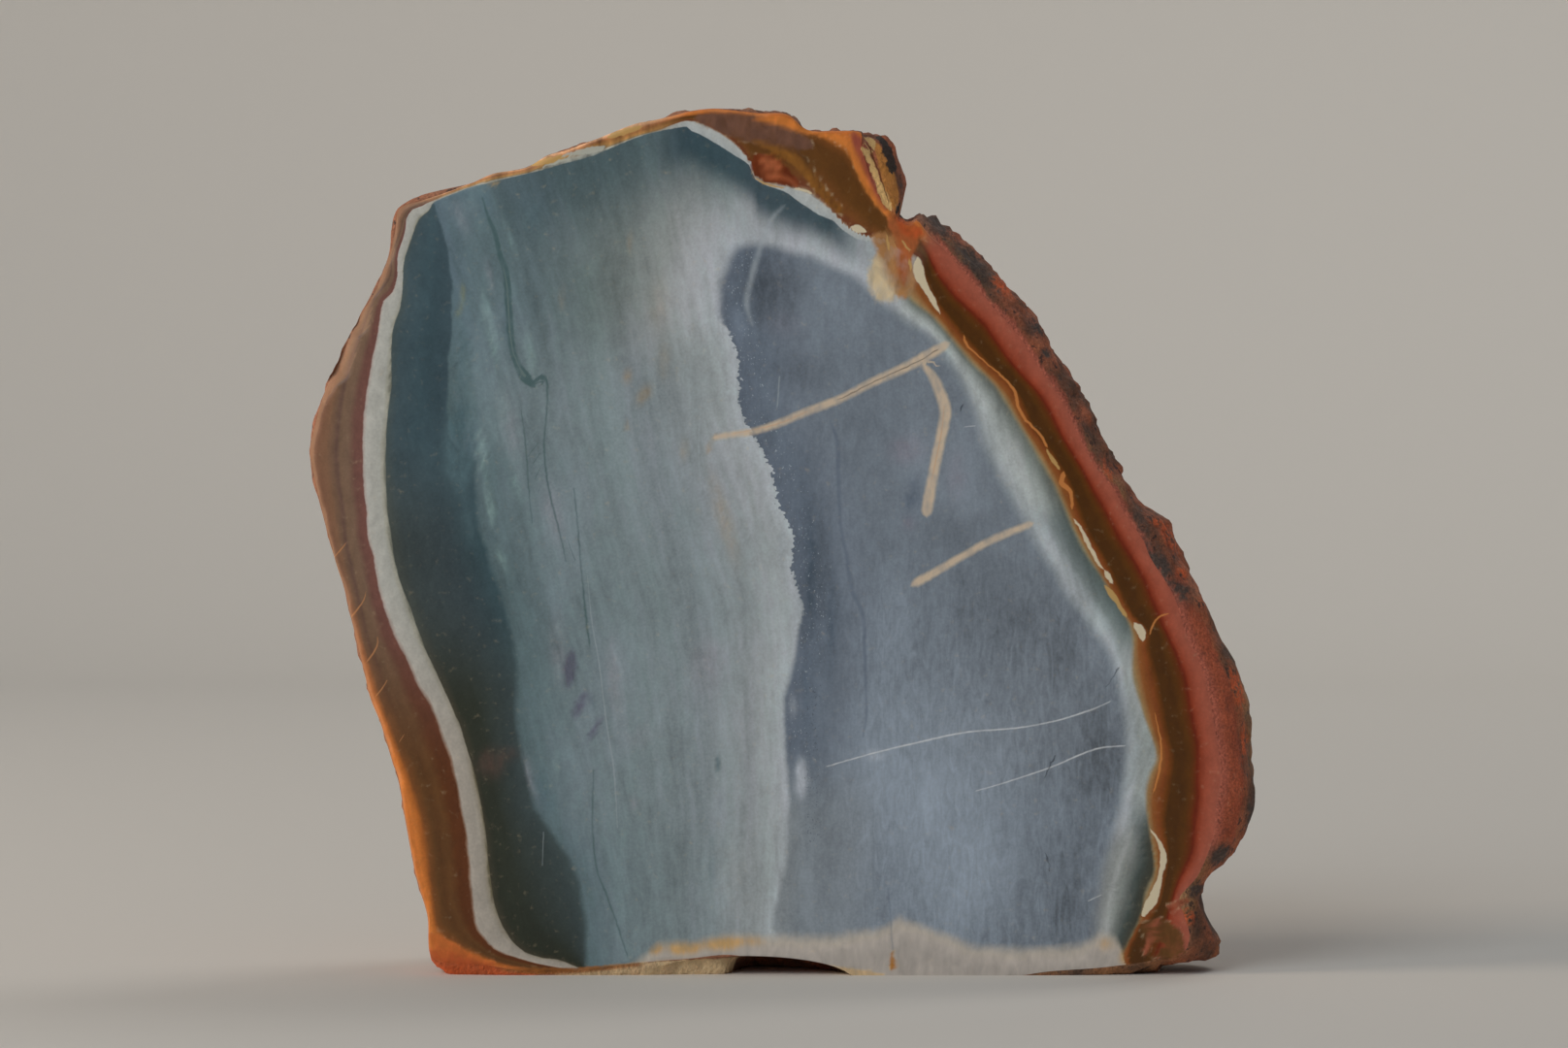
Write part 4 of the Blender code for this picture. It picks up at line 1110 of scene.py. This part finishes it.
x, y, z = points.T
mark_reach = eased(y, FACE_Y + MARKS_END, FACE_Y + MARKS_FADE)
chip = np.zeros(len(points))
chip[:ROUND] = rim_back
chip[ROWS * ROUND : back_start] = face_back
outside = np.hypot(x - CENTRE[0], z - CENTRE[1]) - reach(FACE_EDGE, all_angles)
for name, values in {
    "depth": depth, "layer": layer, "dark": dark, "slate": slate, "slate left": slate_left,
    "haze": (face_z - haze_height(face_x)) / MM, "grain": grain_place(face_x, face_z),
    "tone": spots(face_x, face_z, CORE_TONES), "sugar": spots(face_x, face_z, SUGAR_PLACES),
    "haze stain": spots(face_x, face_z, HAZE_STAINS), "dark colour": dark_colour,
    "teal colour": teal_colour, "slate colour": slate_colour, "stain colour": stain_colour,
    "stain cover": stain_cover,
}.items():
    store(name, values, on_face)
store_strokes(face_x, face_z, on_face, VEINS, VEINS)
store_strokes(front_x, front_z, in_front, CRUST_MARKS, [n for n in CRUST_MARKS if n not in SOFT_MARKS])
store("mark colour", mark_colour, in_front)
store("mark cover", mark_cover * mark_reach[in_front], in_front)
for name, values in {
    "across": x / MM, "up": z / MM, "polish": on_face.astype(float), "chip": chip / MM,
    "front": mark_reach * ((x > LEFT_LIMIT) | (y < FACE_Y + LEFT_DEPTH)),
    "crust": crust_height(points, all_angles) / MM, "top share": top_share, "right share": right_share,
    "behind": np.hypot(outside, BEHIND_SHARE * np.maximum(y - FACE_Y, 0.0)) / MM,
    "rind dark": spots(x, z, RIND_DARK), "rind orange": spots(x, z, RIND_ORANGE),
}.items():
    store(name, values)
print(f"{len(stone_mesh.attributes)} attributes on the stone")

# %% [markdown]
# Tools for painting with nodes. A material is a tree of small nodes. Writing each of them out takes
# many lines, so a few short functions add one node each, in the order in which the colours are laid,
# and what a node gives can be added, multiplied and so on like a number.

# %% Painting tools
material = bpy.data.materials.new("jasper")
material.use_nodes = True
tree = material.node_tree
tree.nodes.clear()


class Result:
    """What a node gives. Arithmetic with it adds a Math node."""

    def __init__(self, socket):
        self.socket = socket

    def __add__(self, other):
        return calc("ADD", self, other)

    def __sub__(self, other):
        return calc("SUBTRACT", self, other)

    def __rsub__(self, other):
        return calc("SUBTRACT", other, self)

    def __mul__(self, other):
        return calc("MULTIPLY", self, other)

    def __truediv__(self, other):
        return calc("DIVIDE", self, other)

    def __neg__(self):
        return calc("MULTIPLY", self, -1)

    def __abs__(self):
        return calc("ABSOLUTE", self)


def node(kind, **settings):
    """A new node with its own settings."""
    made = tree.nodes.new("ShaderNode" + kind)
    for key, value in settings.items():
        setattr(made, key, value)
    return made


def feed(made, inputs, output=0):
    """Sets a node's inputs to plain values or to other nodes' results, and gives back its result."""
    for key, value in inputs.items():
        if isinstance(value, Result):
            tree.links.new(value.socket, made.inputs[key])
        else:
            made.inputs[key].default_value = value
    return Result(made.outputs[output])


def read(name, output="Fac"):
    """A number that is stored on the mesh, or with output "Color" a colour."""
    return feed(node("Attribute", attribute_name=name), {}, output)


def calc(operation, *values):
    """The result of a Math node."""
    return feed(node("Math", operation=operation), dict(enumerate(values)))


def step(value, start, end):
    """0 where value is at start, 1 where it is at end, eased between."""
    made = node("MapRange", interpolation_type="SMOOTHSTEP")
    return feed(made, {"Value": value, "From Min": start, "From Max": end}, "Result")


def scale(value, start, end, low, high):
    """low where value is at start, high where it is at end, straight between and held outside."""
    ends = {"From Min": start, "From Max": end, "To Min": low, "To Max": high}
    return feed(node("MapRange"), {"Value": value, **ends}, "Result")


def stretch(vector, by, shift=(0, 0, 0)):
    """The vector times by, plus shift."""
    return feed(node("Mapping"), {"Vector": vector, "Location": shift, "Scale": by})


def noise(vector, size, shift=0, detail=2, rough=0.5, twist=0):
    """Noise from 0 to 1 with features of size millimetres, one number or one for each axis."""
    sizes = size if isinstance(size, tuple) else (size, size, size)
    made = node("TexNoise", noise_dimensions="3D")
    vector = stretch(vector, [1 / s for s in sizes], (shift,) * 3)
    look = {"Scale": 1, "Detail": detail, "Roughness": rough, "Distortion": twist}
    return feed(made, {"Vector": vector, **look}, "Fac")


def sway(vector, size, amount, shift=0, detail=2, twist=0):
    """Noise from -amount to +amount."""
    return scale(noise(vector, size, shift, detail, twist=twist), 0.2, 0.8, -amount, amount)


def streak(across, width, length, amount, shift=0, detail=2):
    """Noise from -amount to +amount, width mm wide across the grain and length mm long upwards."""
    made = node("TexNoise", noise_dimensions="4D")
    vector = stretch(place, (0, 0, 1 / length), (shift,) * 3)
    value = feed(made, {"Vector": vector, "W": across * (1 / width), "Scale": 1, "Detail": detail}, "Fac")
    return scale(value, 0.2, 0.8, -amount, amount)


def mix(share, below, above, kind="MIX"):
    """below + (above - below) * share, or with kind "MULTIPLY" below * above by that share."""
    made = node("Mix", data_type="RGBA", blend_type=kind)
    return feed(made, {0: share, 6: below, 7: above}, 2)


def shade(colour, amount):
    """The colour times 1 + amount."""
    made = node("HueSaturation")
    return feed(made, {"Value": amount + 1, "Color": colour})


def ramp(value, stops, light=FACE_LIGHT):
    """A colour for each value, blended straight from stop to stop, "value red green blue"."""
    stops = rows(stops)
    low, high = stops[0][0], stops[-1][0]
    made = node("ValToRGB")
    elements = made.color_ramp.elements
    while len(elements) < len(stops):
        elements.new(1)
    for element, (at, *seen) in zip(elements, stops):
        element.position = (at - low) / (high - low)
        element.color = tone(*seen, light)
    return feed(made, {0: scale(value, low, high, 0, 1)})


place = stretch(feed(node("TexCoord"), {}, "Object"), (1000, 1000, 1000))  # in millimetres
place_x, place_z = read("across"), read("up")

# %% [markdown]
# The borders waver. A border read straight from the mesh is as smooth as the curve it came from, and
# stone is not. A slow noise bends all borders alike, and a fine one frays them. The slate's border
# is ragged and crisp only on its left side, below the pale vein.

# %% Wavering borders
bend = sway(place, 6, 0.45, 3, detail=1)
fray = sway(place, 1.1, 0.16, 9)
torn = noise(place, (1.6, 1.6, 2.6), 115, 2, 0.6)
waver = bend + fray
depth_in = read("depth") + waver * 0.45
dark_side = read("dark") + waver
right_half = read("right share")
crisp = step(place_z, 107, 101) * step(place_x, 9, 5)
jagged = crisp * step(place_z, 52, 64)
slate_fray = sway(place, (0.8, 0.8, 0.6), 1, 21, detail=3) * scale(jagged, 0, 1, 0.1, 0.75)
slate_in = read("slate") + (bend * 0.9 + slate_fray)
layer_out = read("layer") + waver * 0.13

# %% [markdown]
# The three parts of the core: dark band, teal half and slate half, with a pale rim just outside the
# ragged part of the slate's border. The stains lie over them, broken up by a cloudy noise.

# %% Parts of the core
dark_soft = scale(place_z, 80, 96, 0.7, 0.3)
dark_share = step(dark_side, dark_soft, -dark_soft)
core = mix(dark_share, read("teal colour", "Color"), read("dark colour", "Color"))
edge_soft = scale(crisp, 0, 1, 1.5, 0.8) * scale(jagged, 0, 1, 1, 0.2)
slate_mask = step(slate_in / edge_soft, -0.7, 0.9)
core = mix(slate_mask, core, read("slate colour", "Color"))
outside_slate = 1 - slate_mask
light_rim = jagged * step(slate_in, -2.4, -0.4) * outside_slate
core = mix(light_rim * 0.7, core, tone(153, 160, 165))
stain_share = read("stain cover") * scale(torn, 0.3, 0.7, 0.45, 1.35)
core = mix(stain_share, core, read("stain colour", "Color"))

# %% [markdown]
# Fine streaks. The teal half is combed from top to bottom with streaks a millimetre wide. Noise that
# is squeezed sideways and drawn out upwards makes them, and it runs along the stored grain, so the
# streaks fan out as the bands do. The slate is mottled instead, with curls.

# %% Fine streaks
comb = read("grain") + bend * 0.9
streaks = streak(comb, 1.3, 11, 1, 5, detail=3)
broad = streak(comb, 4, 36, 1, 15, detail=0)
clouds = sway(place, (9, 9, 16), 1, 25, detail=1)
mottle = sway(place, (1.7, 1.7, 2.8), 1, 35, detail=3, twist=0.6)
dust = sway(place, 0.35, 1, 95, detail=0)
curls = sway(place, (1.1, 1.1, 4.2), 1, 105, detail=3, twist=1.4)
teal_only = (1 - dark_share) * outside_slate
light = (streaks * 0.18 + broad * 0.12) * scale(teal_only, 0, 1, 0.3, 1)
light = light + clouds * 0.14 + mottle * 0.12 + dust * 0.06
curly = slate_mask * scale(step(place_x, 6, 17) * step(place_z, 74, 52), 0, 1, 0.08, 0.24)
light = light + curls * curly
violet = step(streaks + clouds, -0.3, 0.7) * teal_only
core = mix(violet, core, (1, 0.97, 0.995, 1), "MULTIPLY")
green = step(broad + mottle, -0.2, 0.8) * teal_only
core = mix(green, core, (0.975, 1, 0.99, 1), "MULTIPLY")
core = shade(core, light + read("tone"))

# %% [markdown]
# Sugar grains: along its ragged side the slate holds tiny pale quartz grains, and a few dark ones.

# %% Sugar grains
grains = noise(place, (0.26, 0.26, 0.4), 125)
slate_left_side = read("slate left")
near_side = step(slate_left_side, -0.2, 0.8) * step(slate_left_side, 8.5, 3)
near_side = near_side * (step(place_z, 14, 40) * slate_mask)
few = scale(calc("MAXIMUM", near_side, read("sugar")), 0, 1, 0.8, 0.66)
sugar = step(grains - few, 0, 0.05)
core = mix(sugar * 0.5, core, tone(158, 166, 174))
coal_side = step(slate_left_side, 1.8, 3.4) * step(slate_left_side, 7, 5)
coal_side = coal_side * (step(place_z, 14, 24) * step(place_z, 54, 44))
coal = step(grains + scale(coal_side, 0, 1, 0.2, -0.06), 0.32, 0.27)
core = mix(coal * 0.6, core, tone(60, 66, 76))

# %% [markdown]
# The haze along the bottom is a tan clay stain with a soft upper border and an orange fringe.

# %% Bottom haze
haze_side = read("haze") + (bend + fray * 1.5)
haze = ramp(step(haze_side, 0, -4), "0 154 147 137, 0.4 152 145 138, 1 142 136 130")
fringe = step(read("haze stain") * scale(streaks, -0.35, 0.35, 0.8, 1.3), 0, 1.1)
haze = mix(fringe, haze, tone(164, 133, 88))
haze = shade(haze, streaks * 0.1 + mottle * 0.16)
core = mix(step(haze_side, 1.3, -1) * 0.94, core, haze)

# %% [markdown]
# The layers round the core. Left, top and right have their own ramps over the same layer number, and
# two stored shares fade from one to the next round the stone. On the top-left crust, the pale outer end
# of the ramp and the crumbs are partly painted highlight and shade of its lit ridge.

# %% Layers round the core
left_high = ramp(layer_out, """
    0 100 101 92, 0.1 134 134 124, 0.25 142 143 138, 0.9 151 151 146, 1 148 139 133, 1.05 98 66 60,
    1.3 93 65 58, 1.5 100 80 66, 1.72 99 79 64, 1.82 86 66 58, 1.94 95 74 60, 2.2 106 79 61, 2.6 107 77 60,
    2.9 116 84 65, 3 128 96 74
""")
left_low = ramp(layer_out, """
    0 84 79 62, 0.1 120 114 102, 0.3 132 127 119, 0.9 141 135 127, 1 108 82 65, 1.05 76 43 26,
    1.3 76 44 25, 1.5 82 55 32, 1.68 76 50 29, 1.82 80 54 31, 2 98 61 33, 2.25 144 83 38, 2.6 173 102 48,
    2.85 166 96 46, 3 148 90 50
""")
# Top-left crust: its outer stops, peach to cream, are partly painted highlight along the lit top ridge and
# partly the crust's own tan.
top_left_with_highlight = ramp(layer_out, """
    0 112 118 114, 0.4 134 134 126, 0.8 120 100 72, 1.3 142 106 64, 1.8 128 88 54, 2.2 138 92 60,
    2.6 170 126 92, 3 188 150 118
""")
top_right = ramp(layer_out, """
    0 120 128 128, 0.12 142 148 149, 0.85 150 153 152, 0.98 120 92 70, 1.06 90 50 34, 1.25 96 60 32,
    1.5 82 53 26, 1.85 80 51 25, 2 96 58 28, 2.2 140 82 38, 2.6 166 96 42, 3 158 88 44
""")
right_layers = ramp(layer_out, """
    0 124 116 92, 0.18 128 100 66, 0.42 118 72 38, 0.75 108 59 30, 0.98 88 50 21, 1.12 66 41 16,
    1.45 65 40 15, 1.65 74 45 17, 1.82 82 42 16, 1.95 90 33 13, 2.1 116 50 32, 2.3 127 62 45,
    2.65 133 71 55, 3 136 75 60
""")
layers = mix(step(place_z, 66, 30), left_high, left_low)
top_layers = mix(step(place_x, -22, -15), top_left_with_highlight, top_right)
layers = mix(read("top share"), layers, top_layers)
layers = mix(right_half, layers, right_layers)
# Crumbs: random lighter and darker patches on the top-left crust, partly its greyish-brown blotches and
# partly painted highlight and shade of the rough ridge.
crumbly = read("top share") * step(place_x, -15, -24)
crumbs_with_highlight_and_shade = scale(torn, 0.3, 0.7, -0.45, 0.45) * crumbly
layers = shade(layers, dust * 0.05 + mottle * 0.16 + crumbs_with_highlight_and_shade)
layer_edge = scale(right_half, 0, 1, 0.12, 0.5)
core_share = step(depth_in, -layer_edge, layer_edge)
polished = mix(core_share, layers, core)

# %% [markdown]
# The veins. Tan clay fills three cracks in the slate half, a whitish vein runs up to the crest, and
# hair-fine white lines cross the lower right. One function makes the mask of each from its stored
# side and half width.

# %% Veins


def stroke_mask(name, soft, wobble):
    """1 inside the strokes of that name, 0 outside, blurred over soft mm and frayed by wobble mm."""
    side = read(name + " side") + fray * (wobble * 5)
    return step(read(name + " half") - abs(side), -soft, soft)


VEIN_PAINT = {  # name: (red, green, blue as seen, strength, softness, wobble)
    "dark_line": (60, 80, 82, 0.85, 0.2, 0.12), "slate_line": (78, 88, 102, 0.6, 0.25, 0.1),
    "green_heart": (92, 106, 104, 0.6, 0.1, 0.08), "light": (138, 147, 151, 0.4, 0.12, 0.06),
    "pale": (138, 146, 152, 0.5, 0.45, 0.1), "hair": (170, 173, 176, 0.8, 0.12, 0.05),
    "black": (46, 52, 60, 0.85, 0.12, 0.3), "tan": (168, 153, 134, 0.92, 0.36, 0.12),
    "tan_heart": (166, 128, 88, 0.6, 0.14, 0.05), "tan_crack": (92, 78, 66, 0.8, 0.1, 0.12),
}
for name, (*seen, strength, soft, wobble) in VEIN_PAINT.items():
    share = scale(torn, 0.3, 0.6, strength * 0.6, strength * 1.05)
    polished = mix(stroke_mask(name, soft, wobble) * share, polished, tone(*seen))

# %% [markdown]
# The rind. Weathered jasper is brick to brown with dark pits. Noises of several sizes choose between
# brick, brown and near-black, and the stored blotches push the choice where the real stone shows them.
# The hollows of the small relief are darkened with painted shade. On the right the salmon layer runs on
# over the edge before the rind begins.

# %% Rind
patch = noise(place, 7, 55, 3, 0.55)
speck = noise(place, 1.3, 65, 3, 0.6)
field = noise(place, 26, 155)
brick = ramp(patch, "0.3 66 48 39, 0.42 88 56 42, 0.52 107 62 45, 0.6 118 68 48, 0.72 118 76 56", RIND_LIGHT)
brown = ramp(patch, "0.3 50 41 36, 0.44 74 55 43, 0.54 94 66 46, 0.64 106 77 54, 0.75 122 94 66", RIND_LIGHT)
rind_colour = mix(step(field, 0.44, 0.56), brick, brown)
orange_share = read("rind orange") * step(speck, 0.38, 0.55)
rind_colour = mix(step(orange_share, 0, 0.7), rind_colour, seen_on_rind(142, 68, 42))
behind = read("behind")
salmon_end = scale(place_z, 56, 62, 4.5, 0.8)
salmon_gap = salmon_end - (behind + mottle * 0.9)
salmon_share = right_half * step(place_z, 17, 23) * step(salmon_gap, -0.5, 0.5)
salmon = mix(step(behind, 0.3, 2.6), tone(136, 75, 60), seen_on_rind(120, 62, 44))
rind_colour = mix(salmon_share, rind_colour, salmon)
dark_spots = read("rind dark") * scale(speck, 0.35, 0.6, 0.4, 1.5)
rind_colour = mix(step(dark_spots, 0, 0.9), rind_colour, seen_on_rind(58, 49, 45))
near_edge = step(behind, 3.4, 1.2) * (1 - right_half)
rind_colour = mix(near_edge * 0.8, rind_colour, tone(120, 82, 64))
pits = step(speck, 0.41, 0.34) * scale(salmon_share, 0, 1, 0.8, 0.3)
rind_colour = mix(pits, rind_colour, seen_on_rind(38, 32, 31))
# Painted shade: where the small relief is low, its hollows are darkened towards a near-black brown.
hollow_shade = step(read("crust"), 0.02, -0.28)
rind_colour = mix(hollow_shade * 0.45, rind_colour, seen_on_rind(46, 36, 32))
rind_colour = shade(rind_colour, (dust + mottle) * 0.22)

# %% [markdown]
# Face and rind in one shader. The stored polish is 1 on the sawn face and 0 behind it. It chooses the
# colour, the roughness (satin on the face, dull on the rind) and the bump. The marks of the crust run
# over both, so they are painted last.

# %% Surface
is_face = step(read("polish"), 0.9, 0.96)
broken = step(read("chip"), 0.02, 0.08) * is_face
colour = mix(is_face, rind_colour, polished)
colour = mix(broken * 0.12, colour, tone(172, 138, 110))
mark_share = step(read("mark cover") + fray * 1.6, 0.08, 0.8) * scale(torn, 0.3, 0.7, 0.75, 1.1)
colour = mix(mark_share, colour, shade(read("mark colour", "Color"), mottle * 0.3))
LINE_PAINT = {  # name: (red, green, blue as seen, strength, softness, wobble)
    "knob_cream": (194, 158, 104, 0.95, 0.15, 0.4), "knob_line": (84, 46, 26, 0.9, 0.1, 0.2),
    "black_patch": (42, 40, 38, 0.95, 0.15, 0.5), "ochre_line": (164, 106, 58, 0.85, 0.12, 0.15),
    "lens_tan": (156, 126, 78, 0.9, 0.12, 0.2), "lens": (176, 166, 142, 0.92, 0.12, 0.2),
    "lens_grey": (146, 148, 140, 0.9, 0.12, 0.3), "edge_crack": (168, 116, 76, 0.6, 0.1, 0.05),
}
in_front_share = read("front")
for name, (*seen, strength, soft, wobble) in LINE_PAINT.items():
    share = stroke_mask(name, soft, wobble) * (in_front_share * strength)
    colour = mix(share, colour, tone(*seen))
clean_face = is_face * (1 - broken)
rough = node("Mix", data_type="FLOAT")
dull, satin = scale(speck, 0.3, 0.7, 0.62, 0.9), scale(clouds, -0.6, 0.6, 0.28, 0.38)
rough = feed(rough, {0: clean_face, 2: dull, 3: satin})
relief = noise(place, 0.55, 85) * scale(is_face, 0, 1, 1, 0.012)
bump = feed(node("Bump"), {"Strength": 0.8, "Distance": 0.4 * MM, "Height": relief})
surface = feed(node("BsdfPrincipled"), {
    "IOR": 1.54, "Specular IOR Level": 0.32, "Base Color": colour, "Roughness": rough, "Normal": bump,
})
tree.links.new(surface.socket, node("OutputMaterial").inputs["Surface"])
stone_mesh.materials.append(material)
print(f"{len(tree.nodes)} nodes in the stone's material")

# %% [markdown]
# The stage: a pale floor that sweeps up into a backdrop, as in a small studio. One sheet does both,
# a flat run, a quarter circle and a wall, so no line shows where they meet.

# %% Floor and backdrop
FLOOR_FRONT, FLOOR_BACK, SWEEP, WALL_TOP, FLOOR_HALF = -1.6, 1.1, 0.5, 2.2, 2.6


def sweep_profile(t):
    """(y, z) at t: 0 to 1 along the floor, 1 to 2 round the quarter circle, 2 to 3 up the wall."""
    turn = np.clip(t - 1.0, 0.0, 1.0) * math.pi / 2
    y = FLOOR_FRONT + np.clip(t, 0.0, 1.0) * (FLOOR_BACK - FLOOR_FRONT) + SWEEP * np.sin(turn)
    z = SWEEP * (1.0 - np.cos(turn)) + np.clip(t - 2.0, 0.0, 1.0) * (WALL_TOP - SWEEP)
    return y, z


steps = np.concatenate([[0.0], np.linspace(1.0, 2.0, 25), [3.0]])
y, z = sweep_profile(steps)
x = np.array([-FLOOR_HALF, FLOOR_HALF])
sheet = np.stack([np.repeat(x, len(y)), np.tile(y, 2), np.tile(z, 2)], axis=-1)
sheet_index = np.arange(len(sheet)).reshape(2, len(y))
floor_mesh = bpy.data.meshes.new("floor")
floor_mesh.from_pydata(sheet, [], quads(sheet_index).tolist())
floor_mesh.shade_smooth()
floor = add_object("floor", floor_mesh)
paper = bpy.data.materials.new("floor")
paper.use_nodes = True
paper_shader = paper.node_tree.nodes["Principled BSDF"]
paper_shader.inputs["Base Color"].default_value = (0.74, 0.71, 0.66, 1.0)
paper_shader.inputs["Roughness"].default_value = 0.85
floor_mesh.materials.append(paper)

# %% [markdown]
# The light. In the photograph a soft warm light comes from the left, almost along the polished face,
# so it catches the left edge, and cool daylight fills the face evenly. An area lamp and a dim bluish
# world do the same.

# %% Lights


def add_lamp(name, place, target, size, power, colour):
    """A square area lamp at place that looks at target."""
    lamp = bpy.data.lights.new(name, "AREA")
    lamp.size = size
    lamp.energy = power
    lamp.color = colour
    made = add_object(name, lamp)
    made.location = place
    forward = np.array(target) - np.array(place)
    yaw = math.atan2(forward[0], forward[1])
    fall = math.atan2(math.hypot(forward[0], forward[1]), -forward[2])
    made.rotation_euler = (fall, 0.0, -yaw)


MIDDLE = (0.0, 0.0, 0.07)
add_lamp("key", (-1.30, -0.33, 0.48), MIDDLE, 0.5, 9.0, (1.0, 0.84, 0.68))
add_lamp("window", (-1.20, -1.60, 1.40), MIDDLE, 1.3, 17.0, (0.90, 0.96, 1.0))
add_lamp("backdrop", (0.9, 0.75, 1.7), (0.2, 1.5, 0.6), 0.9, 9.0, (1.0, 0.97, 0.93))
world = bpy.data.worlds.new("world")
world.use_nodes = True
sky = world.node_tree.nodes["Background"]
sky.inputs["Color"].default_value = (0.80, 0.88, 1.0, 1.0)
sky.inputs["Strength"].default_value = 0.12
bpy.context.scene.world = world
bpy.context.scene.view_settings.view_transform = "Standard"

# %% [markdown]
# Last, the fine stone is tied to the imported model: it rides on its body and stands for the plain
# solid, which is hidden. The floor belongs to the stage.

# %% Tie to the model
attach(stone, "root")
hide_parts("jasper")
